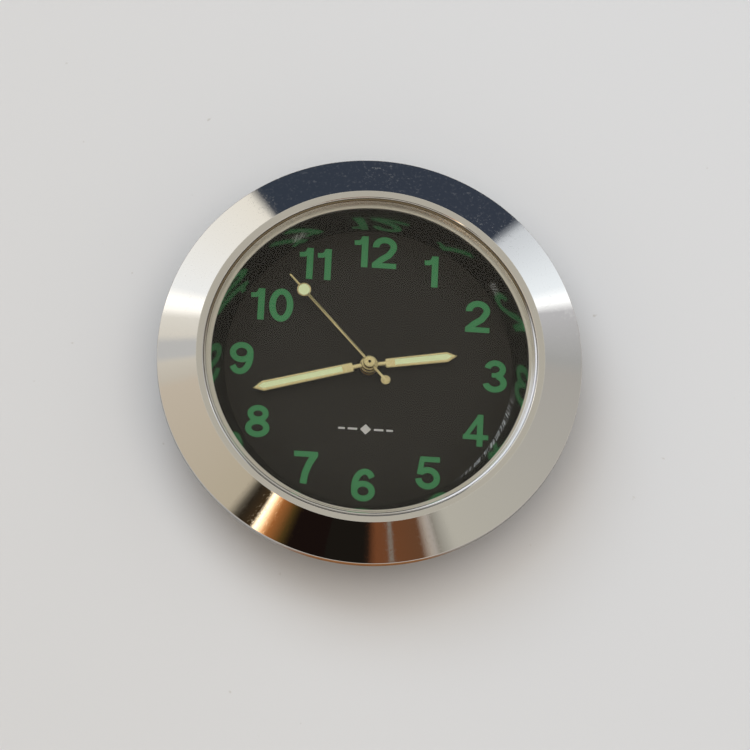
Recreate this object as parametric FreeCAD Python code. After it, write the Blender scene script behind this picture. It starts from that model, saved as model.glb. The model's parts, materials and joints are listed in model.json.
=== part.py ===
"""Small quartz insert clock: a flared metal bezel on a plastic case that pushes into a panel hole.

Frame: +Z is up out of the dial, +Y points to 12 o'clock and +X to 3 o'clock. The origin is on the
clock's axis, at the outer face of the rear cover, so the clock lies on its back on z = 0.
Every solid is written to parts/NODE.step in millimetres. Hands are modelled at 2:42 and 53 seconds.
"""
import FreeCAD
import Part
import math
import os

Vector = FreeCAD.Vector
AXIS = Vector(0, 0, 1)

# ---------------------------------------------------------------- driving sizes, millimetres
# Clearances
running_gap = 0.03        # shaft in its bearing, radial
loose_gap = 0.05          # part dropped into its seat, radial
end_play = 0.05           # along an arbor, each end

# Heights, added up from the rear face
cover_thickness = 0.75
cover_proud = 0.2         # the cover stands this far out of the case
cover_skirt_height = 0.45
movement_gap = 0.4        # cover to movement
movement_height = 3.3
dial_thickness = 0.4
dial_ring_height = 2.95
ledge_thickness = 0.25
crystal_thickness = 1.05  # at its edge
crystal_dome = 0.3        # rise of its top from edge to middle
crystal_bevel = 0.12
lip_rise = 0.08           # bezel lip above the crystal's edge
flange_above_dial = 2.08  # underside of the flange
rim_height = 0.85
rim_round = 0.16
lip_fall = 0.06           # the lip's top leans in by this much
spigot_height = 0.7

# Radii, added up from the dial opening outwards
dial_opening_r = 14.65
cone_run = 1.42           # the mirror cone's lean, from dial to crystal
dial_margin = 0.75        # dial edge held under the ring
dial_ring_wall = 0.1      # at the cone's top
crystal_ledge = 0.53      # crystal overlap on the ledge
gasket_wall = 0.25
lip_width = 0.6
spigot_wall = 0.68
case_shoulder = 0.92      # case outside the spigot
grip_base = 0.25
grip_rib_height = 0.35
flange_overhang = 3.1
seat_gap = 0.4            # grip ring to the flat seat under the flange
seat_rise = 0.3           # recess inside the flat seat
cover_seat_width = 0.85   # counterbore outside the case bore
cover_skirt_wall = 0.5
cover_chamfer = 0.2
cover_pad_r = 11.0
cover_pad_depth = 0.12
cover_gasket_width = 0.35
cover_gasket_height = 0.3
pry_notch_r = 1.3

# Grip ring
grip_ribs = 6
grip_rib_width = 0.32
grip_height = 4.6
grip_gap_width = 8.6      # opening in the ring at the pocket

# Setting button at 3 o'clock and its pocket
button_r = 1.3
button_length = 1.8
button_end_wall = 0.2     # outside the stem's end
button_flutes = 20
button_flute_r = 0.14
button_skirt_depth = 1.15
button_gap = 0.15         # pocket floor to button
button_travel = 0.6
button_set_back = 0.05    # button end inside the case surface
tube_r = 0.8
tube_wall = 0.35
tube_reach = 1.2          # out of the pocket floor
boss_depth = 1.3          # inside the case bore
boss_width = 5.0
pocket_width = 5.4
pocket_margin = 0.15      # above and below the button
ring_seal_width = 0.3
stem_above_movement = 1.55  # stem axis above the movement's underside

# Movement
movement_r = 9.0
plate_floor = 0.4
plate_floor_top = 0.9     # below the dial
plate_dial_rim = 1.0
plate_train_rim = 0.6
bridge_thickness = 0.4
bridge_r = 4.6
bridge_centre = (-1.3, 0.3)
pillar_r = 0.55
pillar_places = ((1.25, 3.1), (-4.9, 1.3), (2.45, 0.5), (-4.1, -3.1))
screw_head_r = 0.55
screw_head_height = 0.22
screw_shank_r = 0.3
screw_slot_width = 0.16
battery_r = 3.4
battery_height = 2.6
battery_centre = (2.6, -4.5)
battery_cap_r = 2.75
battery_step = 0.25
battery_play = 0.05
clamp_thickness = 0.12
board_thickness = 0.2
board_inner_r = 5.0
board_edge_gap = 0.1      # inside the plate's rim
board_from = 22.0         # degrees round the centre
board_to = 168.0
chip_size = 1.7
chip_height = 0.5
quartz_r = 0.75
quartz_length = 5.0
quartz_distance = 7.2
quartz_angle = 98.0
coil_distance = 6.6
coil_angle = 205.0
coil_length = 4.1
coil_r = 0.85
core_width = 1.1
core_thickness = 0.35
core_length = 9.2
core_screw_bite = 0.2     # into the plate floor
stator_thickness = 0.3
stator_boss_r = 1.2
stator_arm_width = 1.1
rotor_gap = 0.2

# Going train. Teeth: pinion then wheel.
pinion_leaves = 8
fifth_teeth = 48
fourth_teeth = 40
third_teeth = 60
centre_teeth = 64
rotor_module = 0.06
fifth_module = 0.08
centre_module = 0.05
wheel_thickness = 0.12
pinion_length = 0.3
arbor_r = 0.1
rotor_r = 0.55
rotor_height = 0.4
fifth_angle = 215.0
rotor_angle = 260.0       # seen from the fifth wheel
third_angle = 120.0
third_wheel_level = 0.6   # above the movement's underside, and so on
fourth_wheel_level = 0.95
fifth_wheel_level = 1.3
centre_wheel_level = 1.65

# Motion work, under the dial
cannon_teeth = 12
minute_teeth = 36
minute_pinion_leaves = 10
hour_teeth = 40
motion_module = 0.085
minute_angle = 35.0
setting_teeth = 16
post_r = 0.22
motion_level = 0.15       # above the plate floor
hour_level = 0.47
seconds_r = 0.13
cannon_wall = 0.18
hour_pipe_wall = 0.22
dial_hole_gap = 0.3
washer_thickness = 0.06

# Setting works
square_side = 0.5
stem_r = 0.4
stem_neck_r = 0.22
stem_groove = 0.36
stem_groove_x = 6.9
stem_inner_x = 3.7
stem_round_x = 6.4
clutch_x = 4.73
clutch_tooth_length = 0.47
clutch_groove_length = 0.65
clutch_flange_length = 0.18
clutch_r = 1.1
clutch_hub_r = 0.6
clutch_flange_r = 0.85
clutch_teeth = 14
clutch_notch_r = 0.17
clutch_travel = 0.5
lever_thickness = 0.25
lever_above_movement = 0.65
lever_arm = 1.8
lever_width = 0.55
yoke_arm = 2.4
yoke_width = 0.3

# Hands. Lengths from the hub's centre.
hour_hand_above_dial = 0.55
minute_hand_above_dial = 1.0
second_hand_above_dial = 1.45
hand_thickness = 0.15
hand_bevel = 0.05
lume_proud = -0.03        # the filling lies below the blade's top
hour_length = 9.1
minute_length = 12.12
second_length = 12.34
neck_length = 1.65
neck_width = 0.45
blade_root_width = 1.0
blade_tip_width = 1.1
tip_length = 1.05
hour_lume_from = 2.65
minute_lume_from = 2.8
hour_lume_width = 0.62
minute_lume_width = 0.6
lume_tip_margin = 0.55
hour_hub_r = 0.92
minute_hub_r = 0.8
hub_height = 0.32
second_hub_r = 0.62
second_hub_height = 0.3
second_width = 0.28
second_tip_width = 0.2
disc_distance = 10.15
disc_r = 0.72
disc_rim = 0.13
tail_distance = 2.48
tail_r = 0.5
hour_hand_angle = 80.1    # clockwise from 12
minute_hand_angle = 253.9
second_hand_angle = 316.3

dial_foot_r = 0.35
dial_foot_length = 1.0
dial_foot_distance = 7.6
dial_foot_angles = (60.0, 240.0)

# ---------------------------------------------------------------- places worked out from them
z_case_rear = cover_proud
z_cover_seat = cover_thickness
z_holder_low = z_cover_seat + cover_skirt_height
z_movement = z_cover_seat + movement_gap
z_dial_low = z_movement + movement_height
z_dial = z_dial_low + dial_thickness
z_ledge_low = z_dial + dial_ring_height
z_ledge = z_ledge_low + ledge_thickness
z_crystal_top = z_ledge + crystal_thickness
z_lip = z_crystal_top + lip_rise
z_flange = z_dial + flange_above_dial
z_rim_top = z_flange + rim_height
z_shoulder = z_flange + seat_rise
z_floor_top = z_dial_low - plate_floor_top
z_floor = z_floor_top - plate_floor
z_bridge_top = z_movement + bridge_thickness + end_play
z_stem = z_movement + stem_above_movement

aperture_r = dial_opening_r + cone_run
board_outer_r = movement_r - plate_train_rim - board_edge_gap
cone_slope = cone_run / (z_ledge - z_dial)
dial_r = dial_opening_r + dial_margin
case_bore_r = dial_r + loose_gap
dial_ring_r = aperture_r + dial_ring_wall
case_upper_bore_r = dial_ring_r + loose_gap
spigot_r = case_upper_bore_r + spigot_wall
case_r = spigot_r + case_shoulder
grip_r = case_r + grip_base + grip_rib_height
flange_r = grip_r + flange_overhang
seat_r = grip_r + seat_gap
crystal_r = aperture_r + crystal_ledge
bezel_bore_r = crystal_r + gasket_wall
lip_outer_r = bezel_bore_r + lip_width
cover_seat_r = case_bore_r + cover_seat_width
cover_r = cover_seat_r - loose_gap
cover_skirt_r = case_bore_r - loose_gap
cover_gasket_r = case_bore_r + (cover_seat_width - cover_gasket_width) / 2

pocket_floor_x = case_r - button_set_back - button_length - button_gap
button_x = pocket_floor_x + button_gap
tube_inner_x = case_bore_r - boss_depth
tube_outer_x = pocket_floor_x + tube_reach
tube_bore_r = tube_r - tube_wall
pocket_height = 2 * (button_r + pocket_margin)

cannon_bore_r = seconds_r + running_gap
cannon_r = cannon_bore_r + cannon_wall
hour_bore_r = cannon_r + running_gap
hour_pipe_r = hour_bore_r + hour_pipe_wall
z_third_wheel = z_movement + third_wheel_level
z_fourth_wheel = z_movement + fourth_wheel_level
z_fifth_wheel = z_movement + fifth_wheel_level
z_centre_wheel = z_movement + centre_wheel_level
z_motion = z_floor_top + motion_level
z_hour_wheel = z_floor_top + hour_level
z_hour_hand = z_dial + hour_hand_above_dial
z_minute_hand = z_dial + minute_hand_above_dial
z_second_hand = z_dial + second_hand_above_dial
z_lever = z_movement + lever_above_movement


def polar(distance, degrees, start=(0.0, 0.0)):
    angle = math.radians(degrees)
    return (start[0] + distance * math.cos(angle), start[1] + distance * math.sin(angle))


def bearing(start, end):
    """Direction from one axis to another, in degrees."""
    return math.degrees(math.atan2(end[1] - start[1], end[0] - start[0]))


centre_distance = centre_module * (pinion_leaves + centre_teeth) / 2
third_module = 2 * centre_distance / (pinion_leaves + third_teeth)
fifth_distance = fifth_module * (pinion_leaves + fourth_teeth) / 2
rotor_distance = rotor_module * (pinion_leaves + fifth_teeth) / 2
motion_distance = motion_module * (cannon_teeth + minute_teeth) / 2
hour_module = 2 * motion_distance / (minute_pinion_leaves + hour_teeth)
setting_distance = motion_module * (minute_teeth + setting_teeth) / 2

centre_at = (0.0, 0.0)
third_at = polar(centre_distance, third_angle)
fifth_at = polar(fifth_distance, fifth_angle)
rotor_at = polar(rotor_distance, rotor_angle, fifth_at)
minute_at = polar(motion_distance, minute_angle)
setting_at = (minute_at[0] + math.sqrt(setting_distance ** 2 - minute_at[1] ** 2), 0.0)
lever_at = (stem_groove_x + button_travel / 2, -lever_arm)
yoke_tip_x = clutch_x + clutch_tooth_length + clutch_groove_length / 2
yoke_at = (yoke_tip_x - clutch_travel / 2, yoke_arm)
coil_at = polar(coil_distance, coil_angle)
coil_ends = [polar(side * (core_length - core_width) / 2, coil_angle - 90, coil_at) for side in (1, -1)]
quartz_at = polar(quartz_distance, quartz_angle)
clamp_screw_places = [polar(battery_r + screw_head_r + 0.35, angle, battery_centre) for angle in (15, 190)]


# ---------------------------------------------------------------- shape helpers
def disc(radius, low, high, at=(0.0, 0.0)):
    return Part.makeCylinder(radius, high - low, Vector(at[0], at[1], low))


def ring(outer, inner, low, high, at=(0.0, 0.0)):
    return disc(outer, low, high, at).cut(disc(inner, low - 1, high + 1, at))


def rod_x(radius, start, end, height=None):
    """A round bar along X on the stem's axis."""
    return Part.makeCylinder(radius, end - start, Vector(start, 0, z_stem), Vector(1, 0, 0))


def box(x0, x1, y0, y1, z0, z1):
    return Part.makeBox(x1 - x0, y1 - y0, z1 - z0, Vector(x0, y0, z0))


def turned(outline):
    """A solid of revolution about Z from a closed outline of (radius, height) points."""
    points = [Vector(r, 0, z) for r, z in outline]
    face = Part.Face(Part.makePolygon(points + points[:1]))
    return face.revolve(Vector(0, 0, 0), AXIS, 360)


def plate(outline, low, high):
    """A flat plate from a closed outline of (x, y) points."""
    points = [Vector(x, y, low) for x, y in outline]
    return Part.Face(Part.makePolygon(points + points[:1])).extrude(Vector(0, 0, high - low))


def bar(start, end, width, low, high):
    """A flat bar with round ends between two places."""
    length = math.dist(start, end)
    body = Part.makeBox(length, width, high - low, Vector(0, -width / 2, low))
    body.rotate(Vector(0, 0, 0), AXIS, bearing(start, end))
    body.translate(Vector(start[0], start[1], 0))
    return body.fuse([disc(width / 2, low, high, start), disc(width / 2, low, high, end)]).removeSplitter()


def turn(shape, degrees, at=(0.0, 0.0)):
    shape = shape.copy()
    shape.rotate(Vector(at[0], at[1], 0), AXIS, degrees)
    return shape


def hand_turn(shape, clockwise):
    """Turns a hand modelled pointing along +Y to its place, clockwise from 12."""
    return turn(shape, -clockwise)


def round_edges(shape, radius, heights, at_radius):
    """Fillets the full circles of one radius at the given heights."""
    chosen = []
    for edge in shape.Edges:
        curve = edge.Curve
        if not hasattr(curve, "Radius") or abs(curve.Radius - at_radius) > 1e-6:
            continue
        if any(abs(edge.BoundBox.ZMin - z) < 1e-6 and abs(edge.BoundBox.ZMax - z) < 1e-6 for z in heights):
            chosen.append(edge)
    return shape.makeFillet(radius, chosen)


def gear(teeth, module, low, high, bore, tooth_at=0.0, at=(0.0, 0.0), depth=1.0):
    """A spur gear with straight-sided teeth, one of them centred on the direction tooth_at (degrees)."""
    pitch_r = teeth * module / 2
    tip_r = pitch_r + 0.9 * module * depth
    root_r = pitch_r - 1.15 * module * depth
    pitch_angle = 2 * math.pi / teeth
    half_tip = 0.14 * pitch_angle
    half_root = 0.31 * pitch_angle
    outline = []
    for tooth in range(teeth):
        middle = math.radians(tooth_at) + tooth * pitch_angle
        for radius, angle in (
            (root_r, -half_root), (tip_r, -half_tip), (tip_r, half_tip), (root_r, half_root)
        ):
            outline.append((
                at[0] + radius * math.cos(middle + angle),
                at[1] + radius * math.sin(middle + angle),
            ))
    return plate(outline, low, high).cut(disc(bore, low - 1, high + 1, at))


def wheel(teeth, module, low, high, bore, tooth_at=0.0, at=(0.0, 0.0), spokes=4, hub=0.45):
    """A gear with windows between its spokes."""
    rim_r = teeth * module / 2 - 3.2 * module
    blank = gear(teeth, module, low, high, bore, tooth_at, at)
    window = ring(rim_r, hub, low - 1, high + 1, at)
    spoke_width = 0.2
    for spoke in range(spokes):
        arm = box(0, rim_r + 1, -spoke_width / 2, spoke_width / 2, low - 1, high + 1)
        arm.rotate(Vector(0, 0, 0), AXIS, spoke * 360 / spokes + tooth_at)
        arm.translate(Vector(at[0], at[1], 0))
        window = window.cut(arm)
    return blank.cut(window)


def gap_facing(direction, teeth):
    """The tooth direction of a gear that shows a gap towards `direction`."""
    return direction + 180.0 / teeth


def slotted_screw(at, head_low, shank_length):
    """A cheese-head screw whose head faces the rear."""
    head = disc(screw_head_r, head_low, head_low + screw_head_height, at)
    shank = disc(screw_shank_r, head_low + screw_head_height, head_low + screw_head_height + shank_length, at)
    half = screw_slot_width / 2
    slot = box(-screw_head_r - 1, screw_head_r + 1, -half, half, head_low - 1, head_low + screw_head_height / 2)
    slot.translate(Vector(at[0], at[1], 0))
    return head.fuse(shank).removeSplitter().cut(slot)


# ---------------------------------------------------------------- case
def bezel():
    cone_at_ledge_low = dial_opening_r + cone_slope * (z_ledge_low - z_dial)
    body = turned([
        (spigot_r, z_shoulder),
        (seat_r, z_shoulder),
        (seat_r, z_flange),
        (flange_r, z_flange),
        (flange_r, z_rim_top),
        (lip_outer_r, z_lip),
        (bezel_bore_r, z_lip - lip_fall),
        (bezel_bore_r, z_ledge),
        (aperture_r, z_ledge),
        (cone_at_ledge_low, z_ledge_low),
        (spigot_r, z_ledge_low),
    ])
    return round_edges(body, rim_round, (z_flange, z_rim_top), flange_r)


def crystal():
    """Flat below, a shallow dome above, with a small bevel at the edge."""
    shoulder = crystal_r - crystal_bevel
    blank = turned([
        (0, z_ledge),
        (crystal_r, z_ledge),
        (crystal_r, z_crystal_top - crystal_bevel),
        (shoulder, z_crystal_top),
        (shoulder, z_crystal_top + 1),
        (0, z_crystal_top + 1),
    ])
    dome_r = (shoulder ** 2 + crystal_dome ** 2) / (2 * crystal_dome)
    ball = Part.makeSphere(dome_r, Vector(0, 0, z_crystal_top + crystal_dome - dome_r), Vector(1, 0, 0))
    return blank.common(ball)


def crystal_gasket():
    return ring(bezel_bore_r, crystal_r, z_ledge, z_crystal_top - crystal_bevel)


def dial_ring():
    """The mirror cone between dial and crystal."""
    cone_at_top = dial_opening_r + cone_slope * (z_ledge_low - z_dial)
    step_up = 0.2
    return turned([
        (dial_opening_r, z_dial),
        (dial_r - loose_gap, z_dial),
        (dial_r - loose_gap, z_dial + step_up),
        (dial_ring_r, z_dial + step_up),
        (dial_ring_r, z_ledge_low),
        (cone_at_top, z_ledge_low),
    ])


def case_body():
    shell = turned([
        (cover_seat_r, z_case_rear),
        (case_r, z_case_rear),
        (case_r, z_shoulder),
        (spigot_r, z_shoulder),
        (spigot_r, z_flange + spigot_height),
        (case_upper_bore_r, z_flange + spigot_height),
        (case_upper_bore_r, z_dial + loose_gap),
        (case_bore_r, z_dial + loose_gap),
        (case_bore_r, z_cover_seat),
        (cover_seat_r, z_cover_seat),
    ])
    half_boss = boss_width / 2
    boss = box(tube_inner_x, pocket_floor_x, -half_boss, half_boss, z_holder_low, z_dial_low)
    boss = boss.common(disc(case_bore_r + 0.2, z_holder_low, z_dial_low))
    shell = shell.fuse(boss).removeSplitter()
    half_pocket = pocket_width / 2
    pocket = box(
        pocket_floor_x, case_r + 1, -half_pocket, half_pocket,
        z_stem - pocket_height / 2, z_stem + pocket_height / 2,
    )
    upright = [e for e in pocket.Edges if abs(e.BoundBox.XLength - (case_r + 1 - pocket_floor_x)) < 1e-6]
    pocket = pocket.makeFillet(0.6, upright)
    gasket_groove = ring(
        cover_gasket_r + cover_gasket_width, cover_gasket_r, z_cover_seat - 1,
        z_cover_seat + cover_gasket_height,
    )
    pry_notch = disc(pry_notch_r, z_case_rear - 1, z_cover_seat, (0, -case_r - pry_notch_r / 3))
    shell = shell.cut([pocket, gasket_groove, pry_notch, rod_x(tube_r, tube_inner_x - 1, case_r)])
    return shell


def grip_ring():
    """A soft ring with round ribs, open at the setting button."""
    low = z_flange - grip_height
    base = ring(case_r + grip_base, case_r, low, z_flange)
    spacing = (grip_height - grip_rib_width) / (grip_ribs - 1)
    for rib in range(grip_ribs):
        rib_low = low + rib * spacing
        base = base.fuse(ring(grip_r, case_r, rib_low, rib_low + grip_rib_width))
    opening = box(0, grip_r + 1, -grip_gap_width / 2, grip_gap_width / 2, low - 1, z_flange + 1)
    return base.removeSplitter().cut(opening)


def rear_cover():
    body = turned([
        (0, 0),
        (cover_r - cover_chamfer, 0),
        (cover_r, cover_chamfer),
        (cover_r, z_cover_seat),
        (cover_skirt_r, z_cover_seat),
        (cover_skirt_r, z_holder_low),
        (cover_skirt_r - cover_skirt_wall, z_holder_low),
        (cover_skirt_r - cover_skirt_wall, z_cover_seat),
        (0, z_cover_seat),
    ])
    return body.cut(disc(cover_pad_r, -1, cover_pad_depth))


def cover_gasket():
    return ring(
        cover_gasket_r + cover_gasket_width, cover_gasket_r, z_cover_seat,
        z_cover_seat + cover_gasket_height,
    )


# ---------------------------------------------------------------- setting button and stem
def crown_tube():
    return rod_x(tube_r, tube_inner_x, tube_outer_x).cut(rod_x(tube_bore_r, 0, case_r))


def seal_bore_r():
    return tube_r + ring_seal_width / 2


def crown():
    end = button_x + button_length
    knob = rod_x(button_r, button_x, end)
    rim = [e for e in knob.Edges if hasattr(e.Curve, "Radius") and e.BoundBox.XLength < 1e-6]
    knob = knob.makeFillet(0.15, rim)
    for flute in range(button_flutes):
        angle = 2 * math.pi * flute / button_flutes
        place = Vector(button_x - 1, button_r * math.cos(angle), z_stem + button_r * math.sin(angle))
        knob = knob.cut(Part.makeCylinder(button_flute_r, button_length + 0.75, place, Vector(1, 0, 0)))
    knob = knob.cut(rod_x(seal_bore_r(), button_x - 1, button_x + button_skirt_depth))
    return knob.cut(rod_x(stem_r, button_x, end - button_end_wall))


def crown_gasket():
    start = button_x + 0.1
    return rod_x(seal_bore_r(), start, start + ring_seal_width).cut(rod_x(tube_r, 0, case_r))


def setting_stem():
    half = square_side / 2
    square = box(stem_inner_x, stem_round_x, -half, half, z_stem - half, z_stem + half)
    outer = rod_x(stem_r, stem_round_x, button_x + button_length - button_end_wall)
    groove_start = stem_groove_x - stem_groove / 2
    groove = rod_x(stem_r + 1, groove_start, groove_start + stem_groove).cut(
        rod_x(stem_neck_r, 0, case_r))
    return outer.fuse(square).cut(groove)


def clutch_wheel():
    """Slides on the stem's square; its end teeth reach the setting wheel when the button is pulled."""
    start = clutch_x
    groove_start = start + clutch_tooth_length
    flange_start = groove_start + clutch_groove_length
    body = rod_x(clutch_r, start, groove_start)
    for tooth in range(clutch_teeth):
        angle = 2 * math.pi * (tooth + 0.5) / clutch_teeth
        place = Vector(start - 1, clutch_r * math.cos(angle), z_stem + clutch_r * math.sin(angle))
        body = body.cut(Part.makeCylinder(clutch_notch_r, clutch_tooth_length + 2, place, Vector(1, 0, 0)))
    body = body.fuse(rod_x(clutch_hub_r, start, flange_start))
    body = body.fuse(rod_x(clutch_flange_r, flange_start, flange_start + clutch_flange_length))
    half = square_side / 2 + running_gap
    return body.removeSplitter().cut(box(start - 1, stem_round_x, -half, half, z_stem - half, z_stem + half))


def setting_lever():
    """Turned by the stem's groove as the button is pulled."""
    pin_at = (stem_groove_x, 0.0)
    top = z_lever + lever_thickness
    arm = bar(lever_at, pin_at, lever_width, z_lever, top)
    boss = disc(lever_width * 0.9, z_lever, top, lever_at)
    pin = disc(stem_groove * 0.4, top, z_stem - stem_neck_r - running_gap, pin_at)
    return arm.fuse([boss, pin]).removeSplitter().cut(disc(post_r + running_gap, 0, z_dial, lever_at))


def yoke():
    """Carries the clutch wheel along the stem."""
    tip = (yoke_tip_x, 0.0)
    top = z_lever + lever_thickness
    arm = bar(yoke_at, tip, yoke_width, z_lever, top)
    boss = disc(lever_width * 0.9, z_lever, top, yoke_at)
    return arm.fuse(boss).removeSplitter().cut(disc(post_r + running_gap, 0, z_dial, yoke_at))


def lever_posts():
    posts = []
    for place in (lever_at, yoke_at):
        stud = disc(post_r, z_lever - 0.12, z_floor, place)
        head = disc(post_r * 1.8, z_lever - 0.2, z_lever - end_play, place)
        shoulder = disc(post_r * 1.8, z_lever + lever_thickness + end_play, z_floor, place)
        posts.append(stud.fuse([head, shoulder]).removeSplitter())
    return Part.makeCompound(posts)


# ---------------------------------------------------------------- dial and holder
def dial():
    return ring(dial_r, hour_pipe_r + dial_hole_gap, z_dial_low, z_dial)


def dial_feet():
    return Part.makeCompound([
        disc(dial_foot_r, z_dial_low - dial_foot_length, z_dial_low, polar(dial_foot_distance, angle))
        for angle in dial_foot_angles
    ])


def movement_holder():
    body = ring(case_bore_r - loose_gap, movement_r + loose_gap, z_holder_low, z_dial_low)
    middle_r = (case_bore_r + movement_r) / 2
    pocket_r = (case_bore_r - movement_r) / 2 - 1.0
    pockets = 10
    for pocket in range(pockets):
        angle = 360.0 * (pocket + 0.5) / pockets
        body = body.cut(disc(pocket_r, z_holder_low - 1, z_dial_low - 0.6, polar(middle_r, angle)))
    half_boss = boss_width / 2 + loose_gap
    boss_room = box(tube_inner_x - loose_gap, case_r, -half_boss, half_boss, 0, z_dial)
    half_stem = tube_r + loose_gap
    stem_room = box(0, case_r, -half_stem, half_stem, 0, z_stem + half_stem)
    return body.cut([boss_room, stem_room])


# ---------------------------------------------------------------- movement frame
def main_plate():
    body = disc(movement_r, z_floor, z_dial_low)
    body = body.cut(disc(movement_r - plate_dial_rim, z_floor_top, z_dial_low + 1))
    body = body.fuse(ring(movement_r, movement_r - plate_train_rim, z_movement, z_floor))
    bosses = [
        disc(dial_foot_r * 2.3, z_floor_top, z_dial_low, polar(dial_foot_distance, angle))
        for angle in dial_foot_angles
    ]
    bosses += [disc(pillar_r, z_bridge_top - end_play, z_floor, place) for place in pillar_places]
    bosses += [disc(screw_head_r, z_movement, z_floor, place) for place in clamp_screw_places]
    core_top = coil_height() + core_thickness / 2
    bosses += [disc(core_width / 2, core_top, z_floor, place) for place in coil_ends]
    body = body.fuse(bosses)
    half_stem = stem_r + 0.2
    clutch_room = clutch_r + 0.15
    holes = [disc(battery_r + battery_play, z_movement - 1, z_dial, battery_centre)]
    holes += [disc(dial_foot_r + loose_gap, z_dial_low - dial_foot_length - loose_gap, z_dial,
                   polar(dial_foot_distance, angle)) for angle in dial_foot_angles]
    holes.append(disc(cannon_r + running_gap, z_floor - 1, z_dial))
    for place in (third_at, fifth_at, rotor_at):
        holes.append(disc(arbor_r + running_gap, z_floor - 1, z_floor + plate_floor / 2, place))
    holes.append(box(stem_round_x, movement_r + 1, -half_stem, half_stem, 0, z_stem + half_stem))
    holes.append(box(clutch_x - clutch_travel - 0.15, stem_round_x, -clutch_room, clutch_room, 0, z_floor_top + 1))
    for place in pillar_places:
        holes.append(disc(screw_shank_r, 0, z_floor, place))
    for place in list(clamp_screw_places) + coil_ends:
        holes.append(disc(screw_shank_r, 0, z_floor + core_screw_bite, place))
    holes.append(bar(coil_ends[0], coil_ends[1], core_width + 2 * loose_gap, z_movement, core_top))
    holes += [disc(screw_head_r + loose_gap, 0, core_top, place) for place in coil_ends]
    holes += [bar(rotor_at, end, stator_arm_width + 2 * loose_gap, z_movement, core_top) for end in coil_ends]
    return body.cut(holes)


def train_bridge():
    top = z_movement + bridge_thickness
    body = disc(bridge_r, z_movement, top, bridge_centre)
    body = body.fuse([bar(bridge_centre, place, pillar_r * 2 + 0.2, z_movement, top) for place in pillar_places])
    body = body.removeSplitter()
    holes = [disc(battery_r + 0.15, 0, z_dial, battery_centre)]
    for place in (centre_at, third_at, fifth_at, rotor_at):
        holes.append(disc(arbor_r + running_gap, 0, z_dial, place))
    for place in pillar_places:
        holes.append(disc(screw_shank_r, 0, z_dial, place))
        holes.append(disc(screw_head_r + loose_gap, 0, z_movement + screw_head_height, place))
    return body.cut(holes)


def bridge_screws():
    return Part.makeCompound([slotted_screw(place, z_movement, 1.1) for place in pillar_places])


def clamp_screws():
    low = z_movement - clamp_thickness - screw_head_height
    return Part.makeCompound([slotted_screw(place, low, 1.4) for place in clamp_screw_places])


# ---------------------------------------------------------------- power and drive
def battery():
    low = z_movement
    can = disc(battery_r, low, low + battery_height, battery_centre)
    step = ring(battery_r + 1, battery_cap_r, low + battery_height - battery_step, z_dial, battery_centre)
    return can.cut(step)


def battery_clamp():
    """The strap that presses on the cell from the rear."""
    low = z_movement - clamp_thickness
    strap = bar(clamp_screw_places[0], clamp_screw_places[1], screw_head_r * 2.2, low, z_movement)
    finger = bar(battery_centre, polar(battery_r * 0.55, 95, battery_centre), 1.4, low, z_movement)
    body = strap.fuse(finger).removeSplitter()
    return body.cut([disc(screw_shank_r, 0, z_dial, place) for place in clamp_screw_places])


def circuit_board():
    half_turn = ring(board_outer_r, board_inner_r, z_movement, z_movement + board_thickness)
    reach = movement_r * 2
    middle = (board_from + board_to) / 2
    wedge = plate([
        (0, 0), polar(reach, board_from), polar(reach, middle - 30), polar(reach, middle + 30),
        polar(reach, board_to),
    ], 0, z_dial)
    body = half_turn.common(wedge)
    clear = [disc(screw_head_r + 0.25, 0, z_dial, place) for place in clamp_screw_places]
    clear.append(disc(bridge_r + 0.1, 0, z_dial, bridge_centre))
    clear += [disc(pillar_r + 0.2, 0, z_dial, place) for place in pillar_places]
    return body.cut(clear)


def chip():
    low = z_movement + board_thickness
    middle = polar((board_inner_r + board_outer_r) / 2 + 0.3, 55)
    half = chip_size / 2
    body = box(-half, half, -half, half, low, low + chip_height)
    body = body.makeFillet(0.2, [e for e in body.Edges if e.BoundBox.ZLength > chip_height * 0.9])
    body.rotate(Vector(0, 0, 0), AXIS, 55)
    body.translate(Vector(middle[0], middle[1], 0))
    return body


def lying_bar(radius, length, at, direction, height):
    """A round bar lying flat, centred on a place."""
    start = polar(-length / 2, direction, at)
    axis = Vector(math.cos(math.radians(direction)), math.sin(math.radians(direction)), 0)
    return Part.makeCylinder(radius, length, Vector(start[0], start[1], height), axis)


def quartz_can():
    height = z_movement + board_thickness + quartz_r
    return lying_bar(quartz_r, quartz_length, quartz_at, quartz_angle - 90, height)


def coil_height():
    return z_floor - end_play - coil_r


def coil_core():
    half = core_thickness / 2
    middle = coil_height()
    body = bar(coil_ends[0], coil_ends[1], core_width, middle - half, middle + half)
    return body.cut([disc(screw_shank_r, 0, z_dial, end) for end in coil_ends])


def coil_winding():
    """The winding with its two cheeks, on the core."""
    middle = coil_height()
    body = lying_bar(coil_r, coil_length, coil_at, coil_angle - 90, middle)
    return body.cut(coil_core())


def stator():
    top = coil_height() - core_thickness / 2
    low = top - stator_thickness
    arms = [bar(rotor_at, end, stator_arm_width, low, top) for end in coil_ends]
    body = arms[0].fuse([arms[1], disc(stator_boss_r, low, top, rotor_at)]).removeSplitter()
    return body.cut([disc(rotor_r + rotor_gap, 0, z_dial, rotor_at)]
                    + [disc(screw_shank_r, 0, z_dial, end) for end in coil_ends])


def stator_screws():
    low = coil_height() - core_thickness / 2 - stator_thickness - screw_head_height
    screws = []
    for end in coil_ends:
        screws.append(slotted_screw(end, low, z_floor + core_screw_bite - low - screw_head_height))
    return Part.makeCompound(screws)


# ---------------------------------------------------------------- going train
def arbor(at, low, high):
    return disc(arbor_r, low, high, at)


def rotor_magnet():
    top = coil_height() - core_thickness / 2
    middle = top - stator_thickness / 2
    return ring(rotor_r, arbor_r, middle - rotor_height / 2, middle + rotor_height / 2, rotor_at)


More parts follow.
